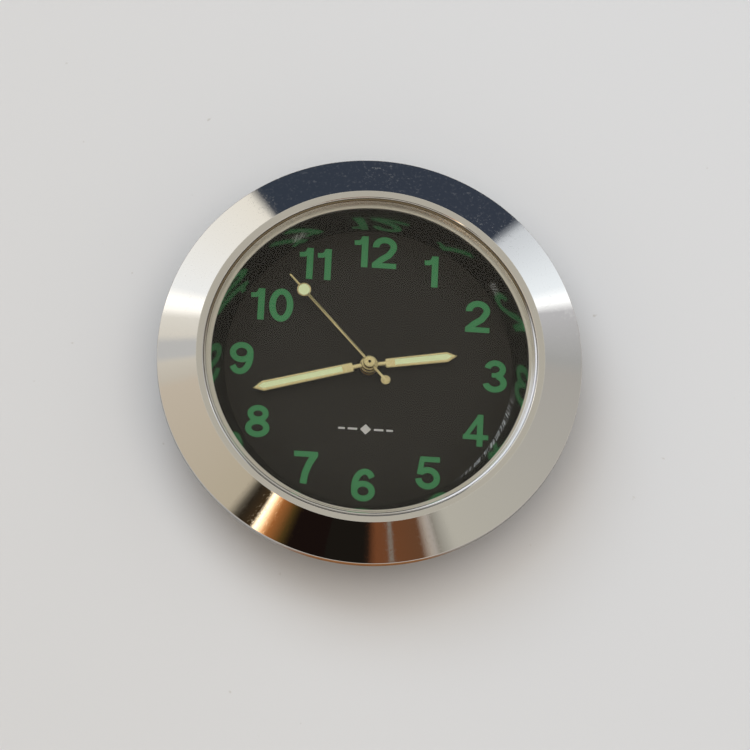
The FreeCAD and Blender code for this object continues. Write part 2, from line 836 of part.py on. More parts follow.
def rotor_pinion():
    low = z_fifth_wheel - (pinion_length - wheel_thickness) / 2
    towards_fifth = bearing(rotor_at, fifth_at)
    leaves = gear(pinion_leaves, rotor_module, low, low + pinion_length, arbor_r / 2,
                  gap_facing(towards_fifth, pinion_leaves), rotor_at)
    shaft = arbor(rotor_at, z_movement + 0.05, z_floor + plate_floor / 2 - end_play)
    return leaves.fuse(shaft).removeSplitter()


def fifth_wheel():
    return wheel(fifth_teeth, rotor_module, z_fifth_wheel, z_fifth_wheel + wheel_thickness, arbor_r,
                 bearing(fifth_at, rotor_at), fifth_at)


def fifth_pinion():
    low = z_fourth_wheel - (pinion_length - wheel_thickness) / 2
    towards_centre = bearing(fifth_at, centre_at)
    leaves = gear(pinion_leaves, fifth_module, low, low + pinion_length, arbor_r / 2,
                  gap_facing(towards_centre, pinion_leaves), fifth_at)
    shaft = arbor(fifth_at, z_movement + 0.05, z_floor + plate_floor / 2 - end_play)
    return leaves.fuse(shaft).removeSplitter()


def fourth_wheel():
    return wheel(fourth_teeth, fifth_module, z_fourth_wheel, z_fourth_wheel + wheel_thickness, seconds_r,
                 bearing(centre_at, fifth_at), centre_at)


def seconds_arbor():
    low = z_third_wheel - (pinion_length - wheel_thickness) / 2
    towards_third = bearing(centre_at, third_at)
    leaves = gear(pinion_leaves, third_module, low, low + pinion_length, arbor_r / 2,
                  gap_facing(towards_third, pinion_leaves))
    pivot = arbor(centre_at, z_movement + 0.05, low + 0.05)
    top = z_second_hand + second_hub_height * 0.55
    shaft = disc(seconds_r, low + 0.02, top)
    return leaves.fuse([pivot, shaft]).removeSplitter()


def third_wheel():
    return wheel(third_teeth, third_module, z_third_wheel, z_third_wheel + wheel_thickness, arbor_r,
                 bearing(third_at, centre_at), third_at)


def third_pinion():
    low = z_centre_wheel - (pinion_length - wheel_thickness) / 2
    towards_centre = bearing(third_at, centre_at)
    leaves = gear(pinion_leaves, centre_module, low, low + pinion_length, arbor_r / 2,
                  gap_facing(towards_centre, pinion_leaves), third_at)
    shaft = arbor(third_at, z_movement + 0.05, z_floor + plate_floor / 2 - end_play)
    return leaves.fuse(shaft).removeSplitter()


def centre_wheel():
    return wheel(centre_teeth, centre_module, z_centre_wheel, z_centre_wheel + wheel_thickness, cannon_r,
                 bearing(centre_at, third_at), centre_at, hub=cannon_r + 0.3)


def cannon_pinion():
    """The pipe that carries the minute hand, with the pinion that drives the motion work."""
    pinion_top = z_hour_wheel - end_play
    leaves = gear(cannon_teeth, motion_module, z_floor_top + end_play, pinion_top, cannon_bore_r,
                  gap_facing(bearing(centre_at, minute_at), cannon_teeth))
    pipe = ring(cannon_r, cannon_bore_r, z_centre_wheel - 0.1, z_minute_hand + hub_height * 0.8)
    return leaves.fuse(pipe).removeSplitter()


def minute_wheel():
    low = z_motion
    teeth_at = bearing(minute_at, centre_at)
    blank = gear(minute_teeth, motion_module, low, low + wheel_thickness, post_r + running_gap, teeth_at, minute_at)
    pinion = gear(minute_pinion_leaves, hour_module, low, z_hour_wheel + wheel_thickness + 0.08,
                  post_r + running_gap, gap_facing(teeth_at, minute_pinion_leaves), minute_at, depth=0.8)
    return blank.fuse(pinion).removeSplitter()


def setting_wheel():
    towards = bearing(minute_at, setting_at)
    pitch = 360.0 / minute_teeth
    offset = (towards - bearing(minute_at, centre_at)) % pitch
    tooth_at = gap_facing(towards + 180.0 + offset * minute_teeth / setting_teeth, setting_teeth)
    return gear(setting_teeth, motion_module, z_motion, z_motion + wheel_thickness, post_r + running_gap,
                tooth_at, setting_at)


def motion_posts():
    """Studs for the minute wheel and the setting wheel."""
    studs = [disc(post_r, z_floor_top, z_hour_wheel + wheel_thickness + 0.1, minute_at),
             disc(post_r, z_floor_top, z_motion + wheel_thickness + 0.1, setting_at)]
    shoulders = [disc(post_r * 1.7, z_floor_top, z_motion - end_play, place) for place in (minute_at, setting_at)]
    return Part.makeCompound([stud.fuse(s).removeSplitter() for stud, s in zip(studs, shoulders)])


def hour_wheel():
    low = z_hour_wheel
    blank = gear(hour_teeth, hour_module, low, low + wheel_thickness, hour_bore_r,
                 bearing(centre_at, minute_at))
    pipe = ring(hour_pipe_r, hour_bore_r, low, z_hour_hand + hub_height * 0.8)
    return blank.fuse(pipe).removeSplitter()


def dial_washer():
    """The thin spring washer between hour wheel and dial."""
    return ring(hour_pipe_r + 0.6, hour_pipe_r + loose_gap, z_dial_low - washer_thickness, z_dial_low)


# ---------------------------------------------------------------- hands
def blade(length, hub_r):
    """A flat pointed hand along +Y with a narrow neck."""
    shoulder = 0.12
    half_neck = neck_width / 2
    half_root = blade_root_width / 2
    half_tip = blade_tip_width / 2
    start = hub_r * 0.7
    right = [
        (half_neck, start), (half_neck, neck_length), (half_root - shoulder, neck_length),
        (half_root, neck_length + shoulder),
        (half_tip, length - tip_length),
    ]
    return right + [(0.0, length)] + [(-x, y) for x, y in reversed(right)]


def lume_window(length, start, width):
    """The outline of the window that holds the luminous filling."""
    half = width / 2
    right = [(half, start), (half, length - tip_length)]
    return right + [(0.0, length - lume_tip_margin)] + [(-x, y) for x, y in reversed(right)]


def hand_blade(length, lume_from, lume_width, hub_r, pipe_r, low):
    top = low + hand_thickness
    body = plate(blade(length, hub_r), low, top)
    rim = [e for e in body.Edges
           if abs(e.BoundBox.ZMin - top) < 1e-6 and abs(e.BoundBox.ZMax - top) < 1e-6
           and e.BoundBox.YMax > neck_length + 0.05]
    body = body.makeChamfer(hand_bevel, rim)
    body = body.cut(plate(lume_window(length, lume_from, lume_width), low - 1, top + 1))
    hub = disc(hub_r, low, low + hub_height)
    hub_top = [e for e in hub.Edges if abs(e.BoundBox.ZMin - low - hub_height) < 1e-6]
    hub = hub.makeFillet(0.07, hub_top)
    return body.fuse(hub).removeSplitter().cut(disc(pipe_r, low - 1, top + 1))


def hour_hand():
    body = hand_blade(hour_length, hour_lume_from, hour_lume_width, hour_hub_r, hour_pipe_r, z_hour_hand)
    return hand_turn(body, hour_hand_angle)


def minute_hand():
    body = hand_blade(
        minute_length, minute_lume_from, minute_lume_width, minute_hub_r, cannon_r, z_minute_hand)
    return hand_turn(body, minute_hand_angle)


def lume_fill(length, start, width, low):
    return plate(lume_window(length, start, width), low + 0.02, low + hand_thickness + lume_proud)


def hour_hand_lume():
    return hand_turn(lume_fill(hour_length, hour_lume_from, hour_lume_width, z_hour_hand), hour_hand_angle)


def minute_hand_lume():
    return hand_turn(
        lume_fill(minute_length, minute_lume_from, minute_lume_width, z_minute_hand), minute_hand_angle)


def second_hand():
    low = z_second_hand
    top = low + hand_thickness * 0.8
    half = second_width / 2
    half_tip = second_tip_width / 2
    needle = plate([(-half, -tail_distance), (half, -tail_distance), (half, disc_distance),
                    (half_tip, second_length), (-half_tip, second_length), (-half, disc_distance)], low, top)
    lollipop = disc(disc_r, low, top, (0, disc_distance))
    tail = disc(tail_r, low, top, (0, -tail_distance))
    eye = disc(second_hub_r - 0.06, low, top)
    body = needle.fuse([lollipop, tail, eye]).removeSplitter()
    body = body.cut(disc(disc_r - disc_rim, low - 1, top + 1, (0, disc_distance)))
    return hand_turn(body.cut(disc(cannon_r, low - 1, top + 1)), second_hand_angle)


def second_hand_lume():
    low = z_second_hand
    body = disc(disc_r - disc_rim, low, low + hand_thickness * 0.8 + lume_proud, (0, disc_distance))
    return hand_turn(body, second_hand_angle)


def second_hand_collet():
    """The hub and pipe that press the second hand on its arbor."""
    low = z_second_hand + hand_thickness * 0.8
    top = z_second_hand + second_hub_height
    hub = disc(second_hub_r, low, top)
    hub = hub.makeFillet(0.09, [e for e in hub.Edges if abs(e.BoundBox.ZMin - top) < 1e-6])
    pipe = disc(cannon_r, z_minute_hand + hub_height + end_play, low)
    body = hub.fuse(pipe).removeSplitter()
    return body.cut(disc(seconds_r, 0, z_crystal_top))


NODES = [
    bezel, crystal, crystal_gasket, dial_ring, case_body, grip_ring, rear_cover, cover_gasket,
    crown_tube, crown, crown_gasket, setting_stem, clutch_wheel, setting_lever, yoke, lever_posts,
    dial, dial_feet, movement_holder, main_plate, train_bridge, bridge_screws, clamp_screws,
    battery, battery_clamp, circuit_board, chip, quartz_can, coil_core, coil_winding, stator,
    stator_screws, rotor_magnet, rotor_pinion, fifth_wheel, fifth_pinion, fourth_wheel, seconds_arbor,
    third_wheel, third_pinion, centre_wheel, cannon_pinion, minute_wheel, setting_wheel, motion_posts,
    hour_wheel, dial_washer, hour_hand, hour_hand_lume, minute_hand, minute_hand_lume, second_hand,
    second_hand_lume, second_hand_collet,
]


def main():
    os.makedirs("parts", exist_ok=True)
    for make in NODES:
        shape = make()
        solids = shape.Solids
        if not solids or not all(s.isValid() and s.Volume > 0 for s in solids):
            raise SystemExit(f"{make.__name__}: not a valid solid")
        if len(solids) == 1:
            shape = solids[0]
        else:
            shape = Part.makeCompound(solids)
        shape.exportStep(f"parts/{make.__name__}.step")
        print(f"{make.__name__:20s} solids {len(solids)}  volume {shape.Volume:9.4f} mm3")


main()
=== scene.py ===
import json
import math

import bmesh
import bpy
from mathutils import Matrix, Vector

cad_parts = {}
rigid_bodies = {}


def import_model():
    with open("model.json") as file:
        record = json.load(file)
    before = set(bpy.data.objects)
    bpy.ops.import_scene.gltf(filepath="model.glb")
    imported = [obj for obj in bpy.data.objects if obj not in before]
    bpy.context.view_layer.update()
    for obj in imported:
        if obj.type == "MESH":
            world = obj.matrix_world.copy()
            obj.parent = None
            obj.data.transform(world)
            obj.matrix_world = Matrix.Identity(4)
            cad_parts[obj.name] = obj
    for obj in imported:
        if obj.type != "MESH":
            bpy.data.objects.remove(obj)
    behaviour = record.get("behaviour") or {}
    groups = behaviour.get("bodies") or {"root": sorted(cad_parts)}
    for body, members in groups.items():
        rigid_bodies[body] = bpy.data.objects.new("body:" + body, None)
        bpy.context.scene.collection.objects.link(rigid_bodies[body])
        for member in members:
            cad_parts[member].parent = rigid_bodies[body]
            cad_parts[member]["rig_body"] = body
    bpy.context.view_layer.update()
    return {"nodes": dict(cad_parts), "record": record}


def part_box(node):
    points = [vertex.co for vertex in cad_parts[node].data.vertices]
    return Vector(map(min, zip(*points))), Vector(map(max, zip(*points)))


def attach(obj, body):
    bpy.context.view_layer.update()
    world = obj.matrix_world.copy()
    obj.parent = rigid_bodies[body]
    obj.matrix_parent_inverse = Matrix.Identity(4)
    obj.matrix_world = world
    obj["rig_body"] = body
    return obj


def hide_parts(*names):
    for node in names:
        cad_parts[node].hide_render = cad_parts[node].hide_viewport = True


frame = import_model()
nodes = frame["nodes"]
mm = 0.001
turnAxis = (0, 0, -1)
print("frame loaded,", len(nodes), "nodes")


# ---- where things are, read from the frame
def low(node):
    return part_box(node)[0] / mm


def high(node):
    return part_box(node)[1] / mm


level = {
    "seat": low("bezel").z, "lip": high("bezel").z,
    "ledge": low("crystal").z, "dial": high("dial").z,
    "hour": low("hour_hand").z, "minute": low("minute_hand").z, "second": low("second_hand").z,
}

# where the camera stands and what it looks at: degrees and millimetres
cameraAt = {"bearing": -7.3, "height": 71.0, "distance": 350.0, "roll": 10.5, "lens": 166.0,
            "lookAt": (0.0, 0.0, 7.0), "shift": (0.0070, -0.0191)}
floorSize = 900.0


def onSphere(bearing, height):
    turn, lift = math.radians(bearing), math.radians(height)
    return Vector((math.cos(lift) * math.sin(turn), -math.cos(lift) * math.cos(turn), math.sin(lift)))


def placeCamera():
    away = onSphere(cameraAt["bearing"], cameraAt["height"])
    side = Vector((0, 0, 1)).cross(away).normalized()
    over = away.cross(side)
    roll = math.radians(cameraAt["roll"])
    up = over * math.cos(roll) - side * math.sin(roll)
    right = side * math.cos(roll) + over * math.sin(roll)
    spot = (Vector(cameraAt["lookAt"]) + away * cameraAt["distance"]) * mm
    bpy.ops.object.camera_add(location=spot)
    camera = bpy.context.object
    camera.name = "mainCamera"
    camera.matrix_world = Matrix((
        (right.x, up.x, away.x, spot.x), (right.y, up.y, away.y, spot.y),
        (right.z, up.z, away.z, spot.z), (0, 0, 0, 1)))
    camera.data.lens = cameraAt["lens"]
    camera.data.sensor_width = 36
    camera.data.shift_x, camera.data.shift_y = cameraAt["shift"]
    camera.data.clip_start = 0.01
    bpy.context.scene.camera = camera


# ---- modelling helpers
def deselectAll():
    if bpy.context.object and bpy.context.object.mode != "OBJECT":
        bpy.ops.object.mode_set(mode="OBJECT")
    bpy.ops.object.select_all(action="DESELECT")


def choose(*pieces):
    deselectAll()
    for piece in pieces:
        piece.select_set(True)
    bpy.context.view_layer.objects.active = pieces[0]


def settle(name):
    # names the piece just added and puts its origin at the frame's own
    piece = bpy.context.object
    piece.name = piece.data.name = name
    bpy.ops.object.transform_apply(location=True, rotation=True, scale=True)
    return piece


def edit():
    bpy.ops.object.mode_set(mode="EDIT")


def leave():
    bpy.ops.object.mode_set(mode="OBJECT")


def pick(kind, test):
    # selects the points, edges or faces of the piece in edit mode whose middle passes the test
    piece = bpy.context.object
    bpy.ops.mesh.select_mode(type=kind)
    bpy.ops.mesh.select_all(action="DESELECT")
    mesh = bmesh.from_edit_mesh(piece.data)
    for part in {"VERT": mesh.verts, "EDGE": mesh.edges, "FACE": mesh.faces}[kind]:
        middle = part.co if kind == "VERT" else sum((v.co for v in part.verts), Vector()) / len(part.verts)
        if test(middle / mm):
            part.select_set(True)
    mesh.select_flush_mode()
    bmesh.update_edit_mesh(piece.data)


touching = 0.003


def near(place):
    return lambda middle: (middle - place).length < touching


def drawLine(name, points, closed):
    # a plane shrunk to one point, then extruded from point to point
    deselectAll()
    bpy.ops.mesh.primitive_plane_add(size=mm, location=Vector(points[0]) * mm)
    piece = settle(name)
    edit()
    bpy.ops.mesh.select_mode(type="VERT")
    bpy.ops.mesh.select_all(action="SELECT")
    bpy.ops.mesh.merge(type="CENTER")
    for here, there in zip(points, points[1:]):
        step = (Vector(there) - Vector(here)) * mm
        bpy.ops.mesh.extrude_region_move(TRANSFORM_OT_translate={"value": step})
    if closed:
        first, last = near(Vector(points[0])), near(Vector(points[-1]))
        pick("VERT", lambda middle: first(middle) or last(middle))
        bpy.ops.mesh.edge_face_add()
    return piece


def tidyShell(angle=32):
    # welds the shell, turns its normals out and keeps only edges sharper than the angle
    bpy.ops.mesh.select_all(action="SELECT")
    bpy.ops.mesh.remove_doubles(threshold=1e-6)
    bpy.ops.mesh.normals_make_consistent(inside=False)
    leave()
    bpy.ops.object.shade_smooth_by_angle(angle=math.radians(angle))
    piece = bpy.context.object
    bpy.ops.object.modifier_add(type="WEIGHTED_NORMAL")
    piece.modifiers[-1].keep_sharp = True
    bpy.ops.object.modifier_apply(modifier=piece.modifiers[-1].name)
    return piece


def turned(name, outline, rounds=(), closed=True, steps=256, angle=360, start=0):
    # outline is radius and height; rounds lists (corner number, radius)
    places = [(r * math.cos(math.radians(start)), r * math.sin(math.radians(start)), z) for r, z in outline]
    drawLine(name, places, closed)
    for corner, radius in rounds:
        pick("VERT", near(Vector(places[corner])))
        bpy.ops.mesh.bevel(offset=radius * mm, segments=6, affect="VERTICES")
    bpy.ops.mesh.select_all(action="SELECT")
    bpy.ops.mesh.spin(steps=steps, angle=math.radians(angle), center=(0, 0, 0), axis=turnAxis)
    for end in (start, start + angle) if angle < 360 else ():
        along = Vector((math.cos(math.radians(end)), math.sin(math.radians(end)), 0))
        pick("EDGE", lambda middle: abs(middle.cross(along).z) < 1e-3 and middle.dot(along) > 0)
        bpy.ops.mesh.edge_face_add()
    return tidyShell()


def cutOut(name, outline, bottom, top, chamfer=0.0):
    # a flat plate from an outline, with a chamfer round its top
    drawLine(name, [(x, y, bottom) for x, y in outline], True)
    bpy.ops.mesh.select_all(action="SELECT")
    bpy.ops.mesh.edge_face_add()
    rise = (top - bottom - chamfer) * mm
    bpy.ops.mesh.extrude_region_move(TRANSFORM_OT_translate={"value": (0, 0, rise)})
    if chamfer:
        bpy.ops.mesh.select_all(action="SELECT")
        bpy.ops.mesh.normals_make_consistent(inside=False)
        pick("FACE", lambda middle: middle.z > top - chamfer - 1e-4)
        bpy.ops.mesh.inset(thickness=chamfer * mm, depth=chamfer * mm)
    return tidyShell(25)


def roundPlug(name, radius, bottom, top, at=(0, 0), sides=64, chamfer=0.0):
    deselectAll()
    place = (at[0] * mm, at[1] * mm, (bottom + top) / 2 * mm)
    bpy.ops.mesh.primitive_cylinder_add(vertices=sides, radius=radius * mm, depth=(top - bottom) * mm,
                                        location=place)
    settle(name)
    edit()
    if chamfer:
        pick("FACE", lambda middle: middle.z > top - 1e-4)
        bpy.ops.mesh.bevel(offset=chamfer * mm, segments=4, affect="EDGES")
    return tidyShell()


def combine(piece, other, operation):
    choose(piece)
    bpy.ops.object.modifier_add(type="BOOLEAN")
    change = piece.modifiers[-1]
    change.operation, change.object, change.solver = operation, other, "EXACT"
    bpy.ops.object.modifier_apply(modifier=change.name)
    bpy.data.objects.remove(other)
    return piece


def joined(pieces, name):
    choose(*pieces)
    bpy.ops.object.join()
    pieces[0].name = pieces[0].data.name = name
    return pieces[0]


def turnPiece(piece, clockwise):
    choose(piece)
    piece.rotation_euler.z = -math.radians(clockwise)
    bpy.ops.object.transform_apply(location=True, rotation=True, scale=True)
    return piece


def fit(piece, body, slot, finish, *stands):
    # gives a piece its finish and body, and hides the solids that it stands for
    piece.data.materials.clear()
    piece.data.materials.append(finish)
    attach(piece, body)
    if stands:
        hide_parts(*stands)
    return piece


# ---- shader helpers
class Wire:
    def __init__(self, paint, socket):
        self.paint, self.socket = paint, socket

    def __add__(self, other):
        return self.paint.sum("ADD", self, other)

    def __sub__(self, other):
        return self.paint.sum("SUBTRACT", self, other)

    def __rsub__(self, other):
        return self.paint.sum("SUBTRACT", other, self)

    def __mul__(self, other):
        return self.paint.sum("MULTIPLY", self, other)

    def __truediv__(self, other):
        return self.paint.sum("DIVIDE", self, other)

    def __pow__(self, other):
        return self.paint.sum("POWER", self, other)

    __radd__ = __add__
    __rmul__ = __mul__


class Paint:
    def __init__(self, name, world=False):
        self.owner = (bpy.data.worlds if world else bpy.data.materials).new(name)
        self.owner.use_nodes = True
        self.tree = self.owner.node_tree
        self.tree.nodes.clear()

    def node(self, kind, settings=None, inputs=None, out=0):
        made = self.tree.nodes.new(kind)
        for key, value in (settings or {}).items():
            if key == "stops":
                ramp = made.color_ramp
                while len(ramp.elements) < len(value):
                    ramp.elements.new(1.0)
                for stop, (place, colour) in zip(ramp.elements, value):
                    stop.position = place
                    stop.color = (*colour, 1)
            else:
                setattr(made, key, value)
        for key, value in (inputs or {}).items():
            if isinstance(value, Wire):
                self.tree.links.new(value.socket, made.inputs[key])
            else:
                made.inputs[key].default_value = value
        return Wire(self, made.outputs[out])

    def sum(self, operation, first, second=0.0):
        return self.node("ShaderNodeMath", {"operation": operation}, {0: first, 1: second})

    def place(self, scale=(1, 1, 1), turn=0.0):
        # the piece's own coordinates along axes turned about Z, then stretched by scale
        spot = self.node("ShaderNodeTexCoord", out=3)
        return self.node("ShaderNodeMapping", {"vector_type": "TEXTURE"},
                         {0: spot, 2: (0, 0, turn), 3: [1 / s for s in scale]})

    def radius(self):
        # distance from the clock's own axis
        spot = self.node("ShaderNodeTexCoord", out=3)
        flat = self.node("ShaderNodeVectorMath", {"operation": "MULTIPLY"}, {0: spot, 1: (1, 1, 0)})
        return self.node("ShaderNodeVectorMath", {"operation": "LENGTH"}, {0: flat}, out=1)

    def axis(self, name, out=3):
        spot = self.node("ShaderNodeTexCoord", out=out)
        return self.node("ShaderNodeSeparateXYZ", None, {0: spot}, out="XYZ".index(name))

    def bearing(self):
        # radians round the clock's own axis, from 3 o'clock towards 12
        return self.sum("ARCTAN2", self.axis("Y"), self.axis("X"))

    def noise(self, scale, detail=4.0, rough=0.6, where=None, warp=0.0):
        return self.node("ShaderNodeTexNoise", None, {
            "Vector": where or self.place(), "Scale": scale, "Detail": detail, "Roughness": rough,
            "Distortion": warp})

    def between(self, value, start, end):
        # 0 below start and 1 above end, with a soft step
        return self.node("ShaderNodeMapRange", {"interpolation_type": "SMOOTHSTEP"}, {0: value, 1: start, 2: end})

    def band(self, value, zone, unit=1.0):
        # 1 between the middle two of the zone's four places, and 0 outside the outer two
        low, lowEnd, highStart, high = [place * unit for place in zone]
        return self.between(value, low, lowEnd) * self.between(value, high, highStart)

    def blend(self, amount, first, second):
        settings = {"data_type": "RGBA"}
        return self.node("ShaderNodeMix", settings, {0: amount, 6: first, 7: second}, out=2)

    def bump(self, height, strength, distance):
        return self.node("ShaderNodeBump", None, {"Height": height, "Strength": strength, "Distance": distance})

    def finish(self, **inputs):
        names = {"colour": "Base Color", "metal": "Metallic", "rough": "Roughness", "normal": "Normal",
                 "gleam": "Specular IOR Level"}
        shader = self.node("ShaderNodeBsdfPrincipled", None, {names[k]: v for k, v in inputs.items()})
        return self.surface(shader)

    def surface(self, shader):
        end = self.tree.nodes.new("ShaderNodeOutputMaterial")
        self.tree.links.new(shader.socket, end.inputs[0])
        return self.owner


def plain(r, g, b):
    return (r, g, b, 1.0)


def shade(colour, share):
    return plain(*[c * share for c in colour])


placeCamera()
print("camera placed")


# ---- finishes
# zones of wear and of painted highlights and painted shade: each has four places, of which the outer two are where
# it fades away
wearAndPaintedLight = {
    "seat": (16.02, 16.06, 16.86, 16.90), "seatEdge": (16.26, 16.34),
    "paintedSeatHighlight": (-1.15, -0.70, -0.20, 0.10), "paintedSealHighlight": (-1.40, -1.0, 0.05, 0.45),
    "handled": (-6.0, 8.0), "paintedSealShade": (-5.0, 9.0), "hubEdge": (1.25, 1.05), "upright": (0.72, 0.45),
}


def chromeFinish():
    # mirror plating with a fine haze, handling scratches and pits; the crystal's seat is left dull, and a painted
    # bluish-white highlight lies on the seat at the lower right
    paint = Paint("mirrorChrome")
    smear = paint.between(paint.noise(170, 4, 0.6), 0.40, 0.72)
    scratch = paint.between(paint.noise(900, 3, 0.6, paint.place((1, 14, 1), 0.9), 0.3), 0.66, 0.74)
    scuffAndHighlight = paint.between(paint.noise(800, 3, 0.6, paint.place((1, 12, 1), -0.5), 0.5), 0.67, 0.75)
    pit = paint.between(paint.noise(3000, 4, 0.7), 0.54, 0.74)
    relief = paint.sum("MAXIMUM", paint.sum("MAXIMUM", scratch, scuffAndHighlight) * 0.8, pit)
    radius = paint.radius()
    seat = paint.band(radius, wearAndPaintedLight["seat"], mm)
    start, end = wearAndPaintedLight["seatEdge"]
    # painted highlight: on the seat at the lower right the plating turns bluish-white and less metallic
    seatHighlight = seat * paint.between(radius, start * mm, end * mm) * paint.band(paint.bearing(), wearAndPaintedLight["paintedSeatHighlight"])
    start, end = wearAndPaintedLight["handled"]
    worn = relief * paint.between(paint.axis("Y"), start * mm, end * mm)
    rough = worn * (smear * 0.22 + 0.06) + smear * 0.035 + 0.020 + seat * 0.30
    tone = paint.blend(seat, plain(0.93, 0.93, 0.93), plain(0.66, 0.63, 0.55))
    tone = paint.blend(seatHighlight, tone, plain(0.95, 0.97, 1.0))
    return paint.finish(colour=tone, rough=rough, normal=paint.bump(smear * 0.5 + relief, 0.02, 0.00002),
                        metal=1 - worn * (smear * 0.07 + 0.06) - seat * 0.35 - seatHighlight * 0.45)


# painted highlights on the ring, streaked like brushing: bearing from and to in radians, height above the dial
# from and to, how strong
ringHighlights = [(-0.98, -0.06, -0.6, 1.5, 0.9), (2.04, 2.18, 0.7, 2.0, 0.9), (0.56, 0.68, 0.6, 2.0, 0.7)]


def ringFinish():
    # dull bright-work inside the crystal, with painted highlights that are pale bluish and less metallic
    paint = Paint("mirrorRing")
    cloud = paint.noise(220, 3)
    bearing, height = paint.bearing(), paint.axis("Z")
    place = paint.node("ShaderNodeCombineXYZ", None, {0: bearing * 30.0 + height * 1500, 1: height * 160})
    streak = paint.between(paint.node("ShaderNodeTexNoise", None, {"Vector": place, "Scale": 4.0, "Detail": 3.0}),
                           0.36, 0.74)
    scuffAndHighlight = 0.0
    for start, end, bottom, top, amount in ringHighlights:
        edge, step = (end - start) * 0.3, (top - bottom) * 0.35
        across = [level["dial"] + z for z in (bottom, bottom + step, top - step, top)]
        zone = paint.band(bearing, (start, start + edge, end - edge, end)) * paint.band(height, across, mm)
        scuffAndHighlight = scuffAndHighlight + zone * streak * amount
    # painted highlights: the streaked zones turn pale bluish
    tone = paint.blend(scuffAndHighlight, plain(0.36, 0.36, 0.335), plain(0.80, 0.84, 0.90))
    return paint.finish(colour=tone, metal=1 - scuffAndHighlight * 0.85, rough=cloud * 0.06 + scuffAndHighlight * 0.4 + 0.07)


def satinFinish(name, colour, rough, grain=2200):
    paint = Paint(name)
    patch = paint.noise(350, 4)
    tone = paint.blend(patch, plain(*colour), shade(colour, 0.86))
    return paint.finish(colour=tone, metal=1.0, rough=patch * 0.12 + rough,
                        normal=paint.bump(paint.noise(grain, 3), 0.06, 0.00003))


def turnedFinish(name, colour, rough=0.3):
    # rings left by the lathe, round the clock's axis
    paint = Paint(name)
    rings = paint.node("ShaderNodeTexNoise", {"noise_dimensions": "1D"},
                       {"W": paint.radius() * 5200, "Detail": 2.0})
    tone = paint.blend(rings, plain(*colour), shade(colour, 0.8))
    return paint.finish(colour=tone, metal=1.0, rough=rings * 0.12 + rough,
                        normal=paint.bump(rings, 0.15, 0.00003))


def mouldedFinish(name, colour, rough, grain=1800, strength=0.2):
    # plastic or rubber with faint cloudiness and a fine moulded grain
    paint = Paint(name)
    patch = paint.noise(240, 4)
    tone = paint.blend(patch, plain(*colour), plain(*[c * 1.25 + 0.004 for c in colour]))
    return paint.finish(colour=tone, metal=0.0, rough=patch * 0.15 + rough,
                        normal=paint.bump(paint.noise(grain, 4), strength, 0.00004))


def gasketFinish():
    # nylon in its own grey-beige, with painted shade in its upper half, dark brown, and a painted pale blue-white
    # highlight at its lower right
    paint = Paint("gasketNylon")
    patch = paint.noise(600, 3)
    start, end = wearAndPaintedLight["paintedSealShade"]
    # painted shade: dark brown in the upper half
    paintedSealShade = paint.between(paint.axis("Y") + patch * 0.004, start * mm, end * mm)
    tone = paint.blend(paintedSealShade, plain(0.42, 0.41, 0.38), plain(0.13, 0.095, 0.05))
    # painted highlight: pale blue-white at the lower right
    tone = paint.blend(paint.band(paint.bearing(), wearAndPaintedLight["paintedSealHighlight"]), tone, plain(0.90, 0.93, 1.0))
    return paint.finish(colour=tone, metal=0.0, rough=patch * 0.15 + 0.38)


def dialFinish():
    paint = Paint("dialPaint")
    speck = paint.noise(1400, 3, 0.6)
    tone = paint.blend(speck, plain(0.0150, 0.0132, 0.0102), plain(0.0185, 0.0160, 0.0126))
    return paint.finish(colour=tone, metal=0.0, rough=speck * 0.1 + 0.7, gleam=0.2)


def printFinish(name, colour):
    paint = Paint(name)
    speck = paint.noise(2600, 3)
    tone = paint.blend(speck, plain(*colour), shade(colour, 0.84))
    return paint.finish(colour=tone, metal=0.0, rough=0.6, gleam=0.3, normal=paint.bump(speck, 0.1, 0.00002))


def giltFinish():
    # gilt plate, with painted shade: the upright sides of the hubs go near black
    paint = Paint("handGilt")
    patch = paint.noise(900, 4)
    start, end = wearAndPaintedLight["hubEdge"]
    side = paint.between(paint.sum("ABSOLUTE", paint.axis("Z", 1)), *wearAndPaintedLight["upright"])
    side = side * paint.between(paint.radius(), start * mm, end * mm)
    tone = paint.blend(patch, plain(0.74, 0.655, 0.365), plain(0.64, 0.55, 0.28))
    # painted shade on the hubs' upright sides
    tone = paint.blend(side, tone, plain(0.075, 0.034, 0.030))
    return paint.finish(colour=tone, metal=0.80, rough=patch * 0.10 + 0.17,
                        normal=paint.bump(paint.noise(4200, 3), 0.06, 0.00002))


def lumeFinish():
    paint = Paint("lumeFill")
    grain = paint.noise(4200, 4, 0.7)
    tone = paint.blend(grain, plain(0.82, 0.90, 0.56), plain(0.70, 0.79, 0.44))
    return paint.finish(colour=tone, metal=0.0, rough=0.8, gleam=0.2, normal=paint.bump(grain, 0.35, 0.00004))


def crystalFinish():
    # plain glass that lets light fall through it onto the dial
    paint = Paint("crystalGlass")
    smear = paint.between(paint.noise(150, 4, 0.6, warp=0.6), 0.5, 0.75)
    glass = paint.node("ShaderNodeBsdfPrincipled", None, {
        "Base Color": plain(1, 1, 1), "Transmission Weight": 1.0, "IOR": 1.22, "Roughness": smear * 0.006})
    through = paint.node("ShaderNodeBsdfTransparent", None, {0: plain(0.96, 0.97, 0.96)})
    shadow = paint.node("ShaderNodeLightPath", out=1)
    return paint.surface(paint.node("ShaderNodeMixShader", None, {0: shadow, 1: glass, 2: through}))


